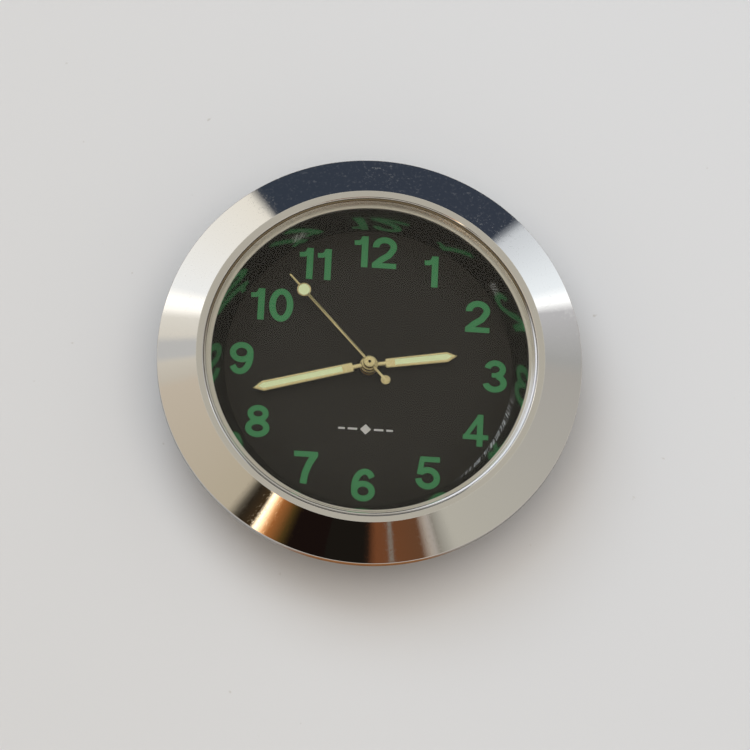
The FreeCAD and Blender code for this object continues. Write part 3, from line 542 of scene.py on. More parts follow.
def coverFinish():
    # straight brushing across the rear cover
    paint = Paint("brushedCover")
    line = paint.noise(900, 4, 0.6, paint.place((0.06, 3, 1)))
    patch = paint.noise(120, 3)
    tone = paint.blend(line, plain(0.62, 0.61, 0.60), plain(0.50, 0.49, 0.48))
    return paint.finish(colour=tone, metal=1.0, rough=line * 0.15 + patch * 0.1 + 0.26,
                        normal=paint.bump(line, 0.25, 0.00003))


def boardFinish():
    # copper tracks under green lacquer
    paint = Paint("boardLaminate")
    track = paint.node("ShaderNodeTexVoronoi", {"distance": "MANHATTAN", "feature": "DISTANCE_TO_EDGE"},
                       {0: paint.place(), "Scale": 900.0})
    edge = paint.between(track, 0.05, 0.09)
    tone = paint.blend(edge, plain(0.42, 0.30, 0.10), plain(0.02, 0.12, 0.05))
    return paint.finish(colour=tone, metal=0.0, rough=0.4)


def windingFinish():
    paint = Paint("coilCopper")
    turns = paint.node("ShaderNodeTexWave", {"bands_direction": "DIAGONAL"},
                       {0: paint.place(), "Scale": 5200.0, "Distortion": 0.6})
    tone = paint.blend(turns, plain(0.50, 0.19, 0.07), plain(0.24, 0.08, 0.03))
    return paint.finish(colour=tone, metal=0.7, rough=0.35, normal=paint.bump(turns, 0.5, 0.00004))


finishes = {
    "polished_metal": chromeFinish(),
    "mirror_ring": ringFinish(),
    "clear_glass": crystalFinish(),
    "seal_rubber": mouldedFinish("sealRubber", (0.035, 0.03, 0.027), 0.45),
    "black_plastic": mouldedFinish("blackPlastic", (0.018, 0.018, 0.019), 0.42),
    "grip_rubber": mouldedFinish("gripRubber", (0.03, 0.03, 0.03), 0.65, 2600, 0.35),
    "brushed_cover": coverFinish(),
    "plain_steel": satinFinish("plainSteel", (0.62, 0.62, 0.63), 0.25),
    "brass_tube": turnedFinish("brassTube", (0.78, 0.6, 0.3)),
    "dial_paint": dialFinish(),
    "gasket_nylon": gasketFinish(),
    "white_nylon": mouldedFinish("whiteNylon", (0.72, 0.71, 0.66), 0.5),
    "movement_plate": mouldedFinish("movementPlate", (0.05, 0.05, 0.055), 0.3),
    "nickel_brass": satinFinish("nickelBrass", (0.70, 0.67, 0.60), 0.3),
    "gear_brass": turnedFinish("gearBrass", (0.82, 0.64, 0.32), 0.28),
    "cell_steel": satinFinish("cellSteel", (0.66, 0.66, 0.66), 0.3, 1200),
    "board_laminate": boardFinish(),
    "chip_resin": mouldedFinish("chipResin", (0.015, 0.015, 0.015), 0.4),
    "coil_copper": windingFinish(),
    "magnet_grey": satinFinish("magnetGrey", (0.22, 0.22, 0.23), 0.4),
    "gear_plastic": mouldedFinish("gearPlastic", (0.68, 0.66, 0.58), 0.45),
    "hand_gilt": giltFinish(),
    "luminous_fill": lumeFinish(),
}
slotOf = {entry["node"]: entry["material_slot"] for entry in frame["record"]["subparts"]}
for name, node in nodes.items():
    node.data.materials.clear()
    node.data.materials.append(finishes[slotOf[name]])
# painted shade: the seconds arbor is made near black, so the hole at the hands' centre looks dark
nodes["seconds_arbor"].data.materials[0] = satinFinish("arborPaintedShade", (0.03, 0.028, 0.025), 0.4)
dialInk = printFinish("numeralGreen", (0.052, 0.240, 0.090))
whiteInk = printFinish("whiteInk", (0.60, 0.59, 0.57))
print("finishes made")


# ---- the case and its metalwork, millimetres
def body(node):
    return nodes[node]["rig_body"]


def dress(piece, node, *also):
    return fit(piece, body(node), slotOf[node], finishes[slotOf[node]], node, *also)


bezelCut = {"lipWidth": 0.75, "lipFall": 0.11, "rimHeight": 0.85,
            "rimRound": 0.07, "lipRound": 0.015, "mouthRound": 0.14, "underRound": 0.03,
            "seatInner": 18.82, "seatRise": 0.30, "spigot": 16.90, "coneRun": 1.42, "ringFoot": 14.65}


def makeBezel():
    cut = bezelCut
    rim = high("bezel").x
    bore = high("crystal_gasket").x
    seat, lip, ledge = level["seat"], level["lip"], level["ledge"]
    under = high("dial_ring").z
    mouth = cut["ringFoot"] + cut["coneRun"]
    slope = cut["coneRun"] / (ledge - level["dial"])
    outline = [
        (cut["spigot"], seat + cut["seatRise"]), (cut["seatInner"], seat + cut["seatRise"]),
        (cut["seatInner"], seat), (rim, seat), (rim, seat + cut["rimHeight"]),
        (bore + cut["lipWidth"], lip), (bore, lip - cut["lipFall"]), (bore, ledge), (mouth, ledge),
        (cut["ringFoot"] + slope * (under - level["dial"]), under), (cut["spigot"], under)]
    rounds = [(3, cut["rimRound"]), (4, cut["rimRound"]), (5, cut["lipRound"]), (6, cut["mouthRound"]),
              (8, cut["underRound"])]
    dress(turned("bezelRing", outline, rounds, steps=320), "bezel")


ringCut = {"step": 0.05, "stepHeight": 0.2, "footRound": 0.02}


def makeMirrorRing():
    foot, dial = bezelCut["ringFoot"], level["dial"]
    outer, under = high("dial_ring").x, high("dial_ring").z
    inStep = high("dial").x - ringCut["step"]
    slope = bezelCut["coneRun"] / (level["ledge"] - dial)
    outline = [(foot, dial), (inStep, dial), (inStep, dial + ringCut["stepHeight"]),
               (outer, dial + ringCut["stepHeight"]), (outer, under), (foot + slope * (under - dial), under)]
    dress(turned("mirrorRing", outline, [(0, ringCut["footRound"])], steps=320), "dial_ring")


crystalCut = {"bevel": 0.12, "rise": 0.30, "domeSteps": 24, "spare": 0.01}


def makeCrystal():
    cut = crystalCut
    edge, bottom, top = high("crystal").x - cut["spare"], level["ledge"] + cut["spare"], high("crystal").z
    shoulder = edge - cut["bevel"]
    ball = (shoulder ** 2 + cut["rise"] ** 2) / (2 * cut["rise"])
    dome = []
    for step in range(cut["domeSteps"] + 1):
        r = shoulder * (1 - step / cut["domeSteps"])
        dome.append((r, top - ball + math.sqrt(ball ** 2 - r ** 2)))
    outline = [(0, bottom), (edge, bottom), (edge, top - cut["rise"] - cut["bevel"])] + dome
    dress(turned("crystalDome", outline, closed=False, steps=192), "crystal")


sealCut = {"spare": 0.035, "round": 0.08}


def makeGasket():
    spare, roundness = sealCut["spare"], sealCut["round"]
    inner, outer = high("crystal").x + spare, high("crystal_gasket").x - spare
    bottom, top = level["ledge"] + crystalCut["spare"], high("crystal_gasket").z
    outline = [(inner, bottom), (outer, bottom), (outer, top), (inner, top)]
    dress(turned("crystalSeal", outline, [(2, roundness), (3, roundness)]), "crystal_gasket")


caseCut = {"bore": 15.45, "upperBore": 16.22, "spigot": 16.90, "coverSeat": 16.30, "round": 0.25,
           "pocketWidth": 5.4, "pocketFloor": 15.82, "pocketRound": 0.6, "pocketSpare": 0.15,
           "dialRecess": 0.05, "notchRadius": 1.3, "past": 1.0}


def makeCase():
    cut = caseCut
    outer, rear, top = high("case_body").x, low("case_body").z, high("case_body").z
    shoulder = level["seat"] + bezelCut["seatRise"]
    seat, recess = low("cover_gasket").z, level["dial"] + cut["dialRecess"]
    outline = [(cut["coverSeat"], rear), (outer, rear), (outer, shoulder), (cut["spigot"], shoulder),
               (cut["spigot"], top), (cut["upperBore"], top), (cut["upperBore"], recess),
               (cut["bore"], recess), (cut["bore"], seat), (cut["coverSeat"], seat)]
    shell = turned("caseShell", outline, [(1, cut["round"])], steps=240)
    # the button's pocket, cut by a block with rounded edges that reaches past the wall
    pocketLow, pocketHigh = low("crown").z - cut["pocketSpare"], high("crown").z + cut["pocketSpare"]
    floor, outside = cut["pocketFloor"], outer + cut["past"]
    middle = Vector(((floor + outside) / 2, 0, (pocketLow + pocketHigh) / 2))
    block = Vector((outside - floor, cut["pocketWidth"], pocketHigh - pocketLow))
    deselectAll()
    bpy.ops.mesh.primitive_cube_add(size=mm, location=middle * mm)
    bpy.context.object.scale = block
    cutter = settle("pocketCutter")
    edit()
    pick("EDGE", lambda m: abs(abs(m.y) - block.y / 2) < 1e-3 and abs(abs(m.z - middle.z) - block.z / 2) < 1e-3)
    bpy.ops.mesh.bevel(offset=cut["pocketRound"] * mm, segments=8, affect="EDGES")
    leave()
    combine(shell, cutter, "DIFFERENCE")
    bite = cut["notchRadius"]
    notch = roundPlug("notch", bite, rear - cut["past"], seat, (0, -outer - bite / 3), 48)
    combine(shell, notch, "DIFFERENCE")
    choose(shell)
    bpy.ops.object.shade_smooth_by_angle(angle=math.radians(32))
    dress(shell, "case_body")


gripCut = {"ribs": 6, "ribWidth": 0.32, "ribRound": 0.1, "base": 0.25, "gap": 8.6}


def makeGrip():
    cut = gripCut
    crest, inner = high("grip_ring").y, high("case_body").y
    bottom, top = low("grip_ring").z, high("grip_ring").z
    base = inner + cut["base"]
    pitch = (top - bottom - cut["ribWidth"]) / (cut["ribs"] - 1)
    outline = [(inner, top), (inner, bottom)]
    for rib in range(cut["ribs"]):
        z = bottom + rib * pitch
        outline += [(base, z), (crest, z), (crest, z + cut["ribWidth"]), (base, z + cut["ribWidth"])]
    # no corners where the band's own ends are flush with the first and last rib
    outline.pop()
    outline.pop(2)
    half = math.degrees(math.asin(cut["gap"] / 2 / crest))
    rounds = [(number, cut["ribRound"]) for number, (r, z) in enumerate(outline) if r == crest]
    dress(turned("gripRing", outline, rounds, steps=220, angle=360 - 2 * half, start=half), "grip_ring")


coverCut = {"chamfer": 0.2, "skirt": 0.5, "skirtSpare": 0.05, "pad": 11.0, "padDepth": 0.12,
            "padRound": 0.04, "round": 0.08}


def makeCover():
    cut = coverCut
    outer, bottom = high("rear_cover").x, low("rear_cover").z
    step, top = low("cover_gasket").z, high("rear_cover").z
    skirt = caseCut["bore"] - cut["skirtSpare"]
    outline = [(0, bottom + cut["padDepth"]), (cut["pad"], bottom + cut["padDepth"]), (cut["pad"], bottom),
               (outer - cut["chamfer"], bottom), (outer, bottom + cut["chamfer"]), (outer, step), (skirt, step),
               (skirt, top), (skirt - cut["skirt"], top), (skirt - cut["skirt"], step), (0, step)]
    rounds = [(1, cut["padRound"]), (2, cut["padRound"]), (3, cut["round"]), (4, cut["round"])]
    dress(turned("rearCover", outline, rounds, closed=False, steps=256), "rear_cover")


buttonCut = {"flutes": 20, "fluteDepth": 0.084, "fluteEdge": 0.03, "skirtBore": 0.95, "skirtDepth": 1.15,
             "endRound": 0.15}


def makeButton():
    cut = buttonCut
    lowest, highest = low("crown"), high("crown")
    axis = Vector((0, 0, (lowest.z + highest.z) / 2))
    radius = (highest.y - lowest.y) / 2
    middle = Vector(((lowest.x + highest.x) / 2, 0, axis.z))
    sides = cut["flutes"] * 6
    deselectAll()
    bpy.ops.mesh.primitive_cylinder_add(vertices=sides, radius=radius * mm, depth=(highest.x - lowest.x) * mm,
                                        location=middle * mm, rotation=(0, math.pi / 2, 0))
    settle("settingButton")
    edit()
    pick("FACE", lambda m: m.x > highest.x - 1e-3)
    bpy.ops.mesh.bevel(offset=cut["endRound"] * mm, segments=5, affect="EDGES")
    pick("FACE", lambda m: abs(m.x - middle.x) < 0.1 and (m - middle).length > radius * 0.9
         and (math.degrees(math.atan2(m.z - axis.z, m.y)) * cut["flutes"] / 360) % 1 < 0.5)
    bpy.ops.mesh.inset(thickness=cut["fluteEdge"] * mm, depth=-cut["fluteDepth"] * mm, use_individual=False)
    pick("FACE", lambda m: m.x < lowest.x + 1e-3)
    bpy.ops.mesh.inset(thickness=(radius - cut["skirtBore"]) * mm)
    bpy.ops.mesh.extrude_region_move(TRANSFORM_OT_translate={"value": (cut["skirtDepth"] * mm, 0, 0)})
    dress(tidyShell(40), "crown")


makeBezel()
makeMirrorRing()
makeCrystal()
makeGasket()
makeCase()
makeGrip()
makeCover()
makeButton()
print("case, bezel, crystal and button made")


# ---- the dial
dialCut = {"hole": 0.89, "edgeRound": 0.03, "inkHeight": 0.012, "hair": 0.0006, "digitHeight": 3.38,
           "widen": 1.03}


def makeDial():
    edge, bottom, top = high("dial").x, low("dial").z, level["dial"]
    outline = [(dialCut["hole"], bottom), (edge, bottom), (edge, top), (dialCut["hole"], top)]
    dress(turned("dialPlate", outline, [(2, dialCut["edgeRound"]), (3, dialCut["edgeRound"])]), "dial")


# each digit is built from broad strokes, one unit high and centred on x = 0
def arc(x, y, rx, ry, start, end):
    count = max(2, int(abs(end - start) / 8))
    angles = [math.radians(start + (end - start) * k / count) for k in range(count + 1)]
    return [(x + rx * math.cos(a), y + ry * math.sin(a)) for a in angles]


broad = 0.190
digitStrokes = {
    "0": [("ring", (0, 0.5, 0.258, 0.435), broad)],
    "1": [("line", [(0.085, 0.0), (0.085, 1.0)], broad),
          ("line", [(-0.225, 0.775), (-0.08, 0.785), (0.01, 0.835), (0.055, 0.95)], 0.15)],
    "2": [("line", arc(0.0, 0.690, 0.262, 0.225, 186, -25) + [(0.12, 0.42), (-0.10, 0.27), (-0.27, 0.10)],
           broad),
          ("line", [(-0.36, 0.082), (0.355, 0.082)], 0.164)],
    "3": [("line", arc(-0.005, 0.722, 0.225, 0.197, 172, -76), 0.178),
          ("line", [(-0.10, 0.532), (0.07, 0.532)], 0.140),
          ("line", arc(-0.005, 0.292, 0.262, 0.212, 76, -172), 0.182)],
    "4": [("line", [(0.118, 0.0), (0.118, 1.0)], 0.174),
          ("line", [(-0.375, 0.290), (0.365, 0.290)], 0.150),
          ("line", [(0.126, 0.972), (-0.312, 0.275)], 0.128)],
    "5": [("line", [(-0.250, 0.918), (0.315, 0.918)], 0.164),
          ("line", [(-0.190, 0.95), (-0.262, 0.44)], 0.150),
          ("line", arc(-0.02, 0.332, 0.268, 0.254, 144, -176), 0.182)],
    "6": [("ring", (0.01, 0.312, 0.255, 0.228), 0.178),
          ("line", arc(0.045, 0.44, 0.290, 0.478, 196, 60) + [(0.255, 0.745)], 0.182)],
    "7": [("line", [(-0.345, 0.915), (0.345, 0.915)], 0.170),
          ("line", [(0.275, 0.93), (0.10, 0.62), (0.0, 0.33), (-0.045, 0.0)], 0.196)],
    "8": [("ring", (0, 0.735, 0.222, 0.180), 0.170), ("ring", (0, 0.288, 0.262, 0.203), 0.178)],
}
digitStrokes["9"] = [("ring", (-0.01, 0.688, 0.255, 0.228), 0.178),
                     ("line", [(-x, 1 - y) for x, y in digitStrokes["6"][1][1]], 0.182)]


def ribbon(path, pen):
    # both edges of a stroke of the pen's width, mitred at its corners, with square ends
    points = [Vector(p) for p in path]
    runs = [(there - here).normalized() for here, there in zip(points, points[1:])]
    sides = []
    for k, point in enumerate(points):
        before, after = runs[max(0, k - 1)], runs[min(k, len(runs) - 1)]
        across = Vector((-before.y - after.y, before.x + after.x)).normalized()
        reach = pen / 2 / max(0.5, across.dot(Vector((-after.y, after.x))))
        sides.append(across * reach)
    return ([tuple(p + side) for p, side in zip(points, sides)]
            + [tuple(p - side) for p, side in reversed(list(zip(points, sides)))])


def makeStroke(kind, shape, pen, at, height, spare):
    bottom, top = level["dial"], level["dial"] + dialCut["inkHeight"]

    def placed(outline):
        return [(at[0] + x * height * dialCut["widen"], at[1] + (y - 0.5) * height) for x, y in outline]

    if kind == "line":
        return cutOut("stroke", placed(ribbon(shape, pen)), bottom, top + spare)
    x, y, rx, ry = shape
    half = pen / 2
    loop = cutOut("loop", placed(arc(x, y, rx + half, ry + half, 0, 360)[:-1]), bottom, top + spare)
    eyelet = cutOut("eyelet", placed(arc(x, y, rx - half, ry - half, 0, 360)[:-1]), bottom - 0.1, top + 0.1)
    return combine(loop, eyelet, "DIFFERENCE")


def makeDigit(digit, at, height):
    # each stroke stands a hair above the one before, so that no two tops lie in one plane
    pieces = [makeStroke(*stroke, at, height, dialCut["hair"] * k) for k, stroke in enumerate(digitStrokes[digit])]
    for other in pieces[1:]:
        combine(pieces[0], other, "UNION")
    return pieces[0]


# reach is the distance from the centre and lean the turn in degrees from the hour's own place
numeralCut = {"gap": 0.56, "wide": 2.36, "narrow": 1.30, "narrowLean": 0.05,
              "reach": {12: 12.41, 1: 12.24, 2: 12.5, 3: 12.9, 4: 12.7, 5: 12.67, 6: 12.54, 7: 12.52, 8: 12.7,
                        9: 12.9, 10: 11.8, 11: 12.29},
              "lean": {12: 0.7, 1: -0.8, 2: 0.75, 3: 0.85, 4: -1.45, 5: -1.1, 7: -2.1, 8: -0.75, 9: 0.35,
                       10: 0.75, 11: 1.05}}


def makeNumerals():
    cut = numeralCut
    digits = []
    for hour, reach in cut["reach"].items():
        turn = math.radians(90 - 30 * hour - cut["lean"].get(hour, 0))
        text = str(hour)
        widths = [cut["narrow"] if digit == "1" else cut["wide"] for digit in text]
        start = reach * math.cos(turn) - (sum(widths) + cut["gap"] * (len(text) - 1)) / 2
        for digit, width in zip(text, widths):
            across = start + width / 2 + (cut["narrowLean"] if digit == "1" else 0.0)
            digits.append(makeDigit(digit, (across, reach * math.sin(turn)), dialCut["digitHeight"]))
            start += width + cut["gap"]
    numerals = joined(digits, "dialNumerals")
    bpy.ops.object.shade_flat()
    fit(numerals, "case", "dial_paint", dialInk)


flourishCut = {"below": 6.68, "lozenge": 0.55, "dash": 0.95, "shorter": 0.3, "gap": 0.30, "pen": 0.20}


def makeFlourish():
    # a small ornament under the hands: a lozenge with dashes on each side
    cut = flourishCut
    half, y = cut["lozenge"], -cut["below"]
    top = level["dial"] + dialCut["inkHeight"]
    pieces = [cutOut("lozenge", [(half, y), (0, y + half), (-half, y), (0, y - half)], level["dial"], top)]
    for side in (1, -1):
        for row in (0, 1):
            start = half + cut["gap"] + row * (cut["dash"] + cut["gap"])
            end = start + cut["dash"] * (1 - cut["shorter"] * row)
            foot, head = y - cut["pen"] / 2, y + cut["pen"] / 2
            corners = [(side * start, foot), (side * end, foot), (side * end, head), (side * start, head)]
            pieces.append(cutOut("dash", corners, level["dial"], top))
    fit(joined(pieces, "dialFlourish"), "case", "dial_paint", whiteInk)


makeDial()
makeNumerals()
makeFlourish()
print("dial printed")


# ---- hands, each modelled pointing at 12 and then turned
handCut = {
    "thick": 0.15, "chamfer": 0.10, "neck": 0.45, "neckEnd": 1.65, "root": 1.0, "tipWidth": 1.1, "tip": 1.05,
    "shoulder": 0.12, "lumeTip": 0.55, "lumeDepth": 0.07, "lumeBed": 0.068, "lumeSink": 0.018, "lumeSpare": 0.01,
    "hour": {"length": 9.1, "hub": 0.92, "bore": 0.59, "lumeFrom": 2.65, "lumeWidth": 0.62, "angle": 80.1},
    "minute": {"length": 12.12, "hub": 0.8, "bore": 0.34, "lumeFrom": 2.8, "lumeWidth": 0.60, "angle": 253.9},
    "second": {"length": 12.34, "hub": 0.62, "bore": 0.13, "width": 0.28, "tipWidth": 0.2, "disc": 10.15,
               "discRound": 0.72, "discWall": 0.13, "cupDepth": 0.06, "tail": 2.48, "tailRound": 0.5,
               "thick": 0.12, "chamfer": 0.04, "angle": 316.3},
    "hubHeight": 0.32, "past": 0.2,
}


def mirrored(right, point):
    return right + [point] + [(-x, y) for x, y in reversed(right)]


def lumeOutline(sizes, spare=0.0):
    half = sizes["lumeWidth"] / 2 - spare
    right = [(half, sizes["lumeFrom"] + spare), (half, sizes["length"] - handCut["tip"])]
    return mirrored(right, (0.0, sizes["length"] - handCut["lumeTip"] - spare))


def makeBlade(which, node, fillNode):
    cut, sizes = handCut, handCut[which]
    bottom, angle = level[which], sizes["angle"]
    top = bottom + cut["thick"]
    neck, root, tip = cut["neck"] / 2, cut["root"] / 2, cut["tipWidth"] / 2
    right = [(neck, sizes["bore"] + 0.1), (neck, cut["neckEnd"]), (root - cut["shoulder"], cut["neckEnd"]),
             (root, cut["neckEnd"] + cut["shoulder"]), (tip, sizes["length"] - cut["tip"])]
    blade = cutOut(which + "Blade", mirrored(right, (0.0, sizes["length"])), bottom, top, cut["chamfer"])
    window = cutOut("window", lumeOutline(sizes), top - cut["lumeDepth"], top + cut["past"])
    combine(blade, window, "DIFFERENCE")
    bore, rim, hubTop = sizes["bore"], sizes["hub"], bottom + cut["hubHeight"]
    outline = [(bore, bottom), (rim, bottom), (rim, hubTop), (bore, hubTop)]
    combine(blade, turned(which + "Hub", outline, [(2, 0.08), (3, 0.03)], steps=64), "UNION")
    choose(blade)
    bpy.ops.object.shade_smooth_by_angle(angle=math.radians(28))
    dress(turnPiece(blade, angle), node)
    fill = cutOut(which + "Lume", lumeOutline(sizes, cut["lumeSpare"]), top - cut["lumeBed"],
                  top - cut["lumeSink"], 0.02)
    dress(turnPiece(fill, angle), fillNode)


def makeSecondHand():
    sizes = handCut["second"]
    bottom = level["second"]
    top = bottom + sizes["thick"]
    half, tip = sizes["width"] / 2, sizes["tipWidth"] / 2
    outline = [(half, -sizes["tail"]), (half, sizes["disc"]), (tip, sizes["length"]), (-tip, sizes["length"]),
               (-half, sizes["disc"]), (-half, -sizes["tail"])]
    needle = cutOut("secondNeedle", outline, bottom, top, sizes["chamfer"])
    plate = roundPlug("discPlate", sizes["discRound"], bottom, top, (0, sizes["disc"]), 64, sizes["chamfer"])
    ball = roundPlug("tailBall", sizes["tailRound"], bottom, top, (0, -sizes["tail"]), 48, 0.05)
    combine(needle, plate, "UNION")
    combine(needle, ball, "UNION")
    middle, cup = (0, sizes["disc"]), sizes["discRound"] - sizes["discWall"]
    hollow = roundPlug("cup", cup, top - sizes["cupDepth"], top + handCut["past"], middle, 64)
    combine(needle, hollow, "DIFFERENCE")
    dress(turnPiece(needle, sizes["angle"]), "second_hand")
    fill = roundPlug("secondLume", cup - handCut["lumeSpare"], top - 0.055, top - 0.012, middle, 48, 0.015)
    dress(turnPiece(fill, sizes["angle"]), "second_hand_lume")
    foot, shelf, hubTop = low("second_hand_collet").z, bottom + 0.02, high("second_hand_collet").z
    bore, neck, rim = sizes["bore"], handCut["minute"]["bore"], sizes["hub"]
    outline = [(bore, foot), (neck, foot), (neck, shelf), (rim, shelf), (rim, hubTop), (bore, hubTop)]
    dress(turned("secondHub", outline, [(4, 0.1), (5, 0.03)], steps=64), "second_hand_collet")


makeBlade("hour", "hour_hand", "hour_hand_lume")
makeBlade("minute", "minute_hand", "minute_hand_lume")
makeSecondHand()
print("hands made")


# ---- stage and light
# the table: its colour at the left and right, painted lighter and bluer towards the right as painted light; its
# specks; and what it throws back up at the clock, which is painted shade and a painted reflection
tableCut = {"left": (0.696, 0.697, 0.706), "right": (0.735, 0.748, 0.776), "blend": (-50.0, 50.0),
            "speck": (0.585, 0.575, 0.565), "under": (0.40, 0.40, 0.40), "warm": (0.36, 0.17, 0.07),
            "warmDown": (-14.0, -20.0), "warmMiddle": 1.0, "warmAcross": (12.0, 6.0)}


def makeFloor():
    cut = tableCut
    deselectAll()
    bpy.ops.mesh.primitive_grid_add(x_subdivisions=8, y_subdivisions=8, size=floorSize * mm, location=(0, 0, 0))
    floor = bpy.context.object
    floor.name = "tableTop"
    paint = Paint("tablePaint")

    def fade(value, key):
        start, end = cut[key]
        return paint.between(value, start * mm, end * mm)

    across = paint.axis("X")
    # painted light: the table gets lighter and bluer towards the right
    tone = paint.blend(fade(across, "blend"), plain(*cut["left"]), plain(*cut["right"]))
    tone = paint.blend(paint.between(paint.noise(700, 2, 0.5), 0.74, 0.80), tone, plain(*cut["speck"]))
    offMiddle = paint.sum("ABSOLUTE", across - cut["warmMiddle"] * mm)
    # painted shade and a painted reflection: other rays see a dark grey table, dark orange in front of the clock,
    # which the rim's edge shows as an orange line
    warm = fade(paint.axis("Y"), "warmDown") * fade(offMiddle, "warmAcross")
    under = paint.blend(warm, plain(*cut["under"]), plain(*cut["warm"]))
    seen = paint.node("ShaderNodeLightPath")
    tone = paint.blend(seen, under, tone)
    floor.data.materials.append(paint.finish(colour=tone, rough=0.55, gleam=0.2))


eye = onSphere(cameraAt["bearing"], cameraAt["height"]) * cameraAt["distance"] + Vector(cameraAt["lookAt"])
coneTilt = math.atan2(level["lip"] - level["seat"] - bezelCut["rimHeight"],
                      high("bezel").x - high("crystal_gasket").x - bezelCut["lipWidth"])
coneMiddle = {"radius": 19.5, "height": 8.5}
skyMiddle = Vector((-eye.x, -eye.y, eye.z)).normalized()
skyRight = (Vector((1, 0, 0)) - skyMiddle * skyMiddle.x).normalized()
skyFar = skyMiddle.cross(skyRight)


def skyPlace(bearing):
    # where round the sky the bezel's cone looks, for a place on it counted from 3 o'clock, in degrees
    angle = math.radians(bearing)
    flat = Vector((math.cos(angle), math.sin(angle), 0))
    spot = flat * coneMiddle["radius"] + Vector((0, 0, coneMiddle["height"]))
    normal = flat * math.sin(coneTilt) + Vector((0, 0, math.cos(coneTilt)))
    view = (eye - spot).normalized()
    bounce = 2 * normal.dot(view) * normal - view
    return math.degrees(math.atan2(bounce.dot(skyFar), bounce.dot(skyRight)))


# the strip of colours round the room starts and ends in its darkest side
roomSeam = skyPlace(260)


def skyTurn(bearing):
    # the share of the strip at which a place on the cone looks
    return (skyPlace(bearing) - roomSeam) % 360 / 360


# what stands round the room, by the place on the bezel that shows it, all in degrees
roomSides = [
    {"span": (3, 19.6), "first": (0.37, 0.365, 0.35), "last": (0.50, 0.49, 0.495), "edge": 1.0},
    {"span": (20.2, 24), "first": (1.25, 1.25, 1.22), "last": (1.1, 1.12, 1.12), "edge": 0.6},
    {"span": (24, 46), "first": (0.90, 0.94, 0.96), "last": (0.60, 0.62, 0.64), "edge": 1.5},
    {"span": (47, 127), "first": (0.036, 0.044, 0.062), "last": (0.034, 0.043, 0.060), "edge": 2.5},
    {"span": (128, 164), "first": (0.82, 0.77, 0.67), "last": (0.90, 0.90, 0.88), "edge": 2.0},
    {"span": (166, 169), "first": (1.3, 1.25, 1.15), "last": (1.2, 1.15, 1.05), "edge": 0.5},
    {"span": (170.5, 191), "first": (0.74, 0.70, 0.62), "last": (0.54, 0.49, 0.41), "edge": 2.0},
    {"span": (192, 231.3), "first": (0.54, 0.465, 0.37), "last": (0.46, 0.395, 0.29), "edge": 1.5},
    {"span": (233.2, 238.6), "first": (0.020, 0.016, 0.011), "last": (0.050, 0.030, 0.013), "edge": 0.6},
    {"span": (239.2, 241.4), "first": (2.1, 1.7, 1.15), "last": (1.4, 0.74, 0.32), "edge": 0.4},
    {"span": (242.0, 247.6), "first": (0.40, 0.14, 0.040), "last": (0.06, 0.038, 0.010), "edge": 0.8},
    {"span": (248.8, 271.8), "first": (0.009, 0.005, 0.004), "last": (0.010, 0.008, 0.006), "edge": 0.8},
    {"span": (273.4, 287.6), "first": (0.16, 0.056, 0.022), "last": (0.125, 0.055, 0.026), "edge": 0.8},
    {"span": (289.0, 291.4), "first": (0.40, 0.34, 0.28), "last": (0.38, 0.34, 0.30), "edge": 0.5},
    {"span": (292.2, 294), "first": (0.24, 0.22, 0.18), "last": (0.36, 0.34, 0.29), "edge": 0.4},
    {"span": (296, 358.5), "first": (0.46, 0.435, 0.37), "last": (0.39, 0.37, 0.34), "edge": 1.0},
]
roomStripes = [
    {"at": 278.6, "half": 1.0, "colour": (0.20, 0.17, 0.14)},
    {"at": 181.5, "half": 4.6, "colour": (0.50, 0.49, 0.47)},
]
# above the strip a ceiling with a bright patch and below it the horizon, by degrees from the sky's middle
roomCut = {"ceiling": (0.44, 0.41, 0.345), "lightPatch": (0.98, 0.95, 0.86), "horizon": (0.55, 0.50, 0.44),
           "paper": (0.70, 0.70, 0.705), "patchEdge": (3.6, 6.2), "ceilingEdge": (22, 27),
           "horizonEdge": (58, 66), "wander": 0.012}


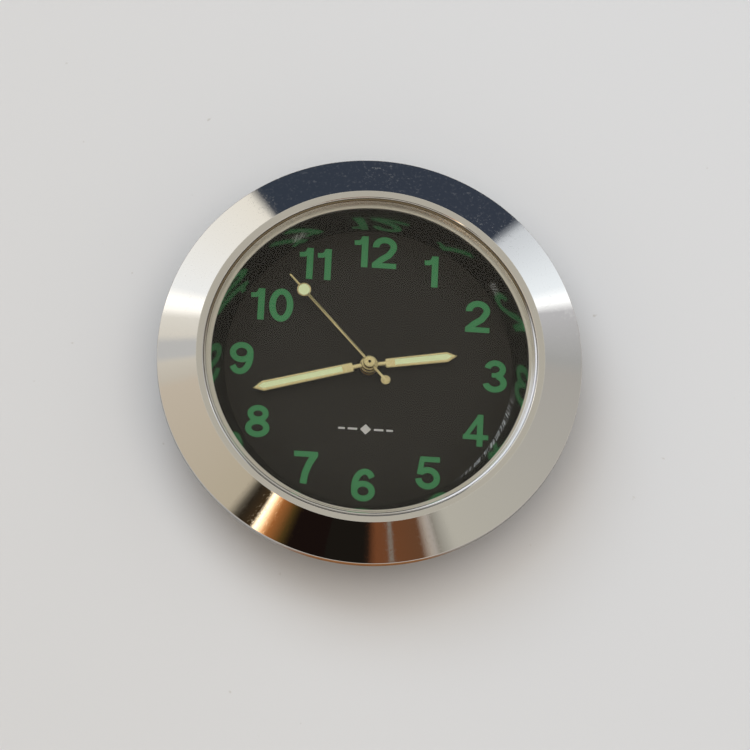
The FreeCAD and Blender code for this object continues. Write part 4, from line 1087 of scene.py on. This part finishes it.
def makeRoom():
    paint = Paint("roomLight", world=True)
    toward = paint.node("ShaderNodeTexCoord")

    def along(axis):
        return paint.node("ShaderNodeVectorMath", {"operation": "DOT_PRODUCT"}, {0: toward, 1: tuple(axis)}, out=1)

    turn = paint.sum("ARCTAN2", along(skyFar), along(skyRight)) * (0.5 / math.pi)
    # the sides' edges wander a little, about their own places
    wander = paint.noise(5, 2, 0.5, toward) * roomCut["wander"]
    turn = paint.sum("FRACT", turn + wander + (1 - roomCut["wander"] / 2 - roomSeam / 360))
    stops = []
    for side in roomSides:
        first, last = [skyTurn(bearing) for bearing in side["span"]]
        soft = side["edge"] / 360
        stops += [(first + soft / 2, side["first"]), (last - soft / 2, side["last"])]
    stops.sort(key=lambda stop: stop[0])
    sides = paint.node("ShaderNodeValToRGB", {"stops": stops}, {0: turn})
    for stripe in roomStripes:
        off = paint.sum("ABSOLUTE", turn - skyTurn(stripe["at"]))
        half = stripe["half"] / 360
        sides = paint.blend(paint.between(off, half, half * 0.4), sides, plain(*stripe["colour"]))
    spread = paint.sum("ARCCOSINE", along(skyMiddle)) * (180 / math.pi)
    sky = paint.blend(paint.between(spread, *roomCut["patchEdge"]), plain(*roomCut["lightPatch"]),
                      plain(*roomCut["ceiling"]))
    sky = paint.blend(paint.between(spread, *roomCut["ceilingEdge"]), sky, sides)
    sky = paint.blend(paint.between(spread, *roomCut["horizonEdge"]), sky, plain(*roomCut["horizon"]))
    direct = paint.node("ShaderNodeLightPath")
    sky = paint.blend(direct, sky, plain(*roomCut["paper"]))
    light = paint.node("ShaderNodeBackground", None, {0: sky, 1: 1.0})
    end = paint.tree.nodes.new("ShaderNodeOutputWorld")
    paint.tree.links.new(light.socket, end.inputs[0])
    bpy.context.scene.world = paint.owner


# soft discs of light that don't show in the mirror parts
lamps = {
    "windowLamp": {"bearing": 215.0, "height": 52.0, "distance": 420.0, "size": 330.0, "watts": 0.40,
                   "colour": (0.80, 1.0, 1.22)},
    "ceilingLamp": {"bearing": 0.0, "height": 88.0, "distance": 520.0, "size": 620.0, "watts": 1.32,
                    "colour": (1.04, 1.0, 0.95)},
}


def makeLamps():
    for name, cut in lamps.items():
        away = onSphere(cut["bearing"], cut["height"])
        deselectAll()
        bpy.ops.object.light_add(type="AREA", location=away * cut["distance"] * mm)
        lamp = bpy.context.object
        lamp.name = name
        lamp.data.shape = "DISK"
        lamp.data.size = cut["size"] * mm
        lamp.data.energy = cut["watts"]
        lamp.data.color = cut["colour"]
        lamp.rotation_euler = away.to_track_quat("Z", "Y").to_euler()
        lamp.visible_glossy = False
        lamp.visible_transmission = False


makeFloor()
makeRoom()
makeLamps()
bpy.context.scene.view_settings.view_transform = "Standard"
print("stage and light set")
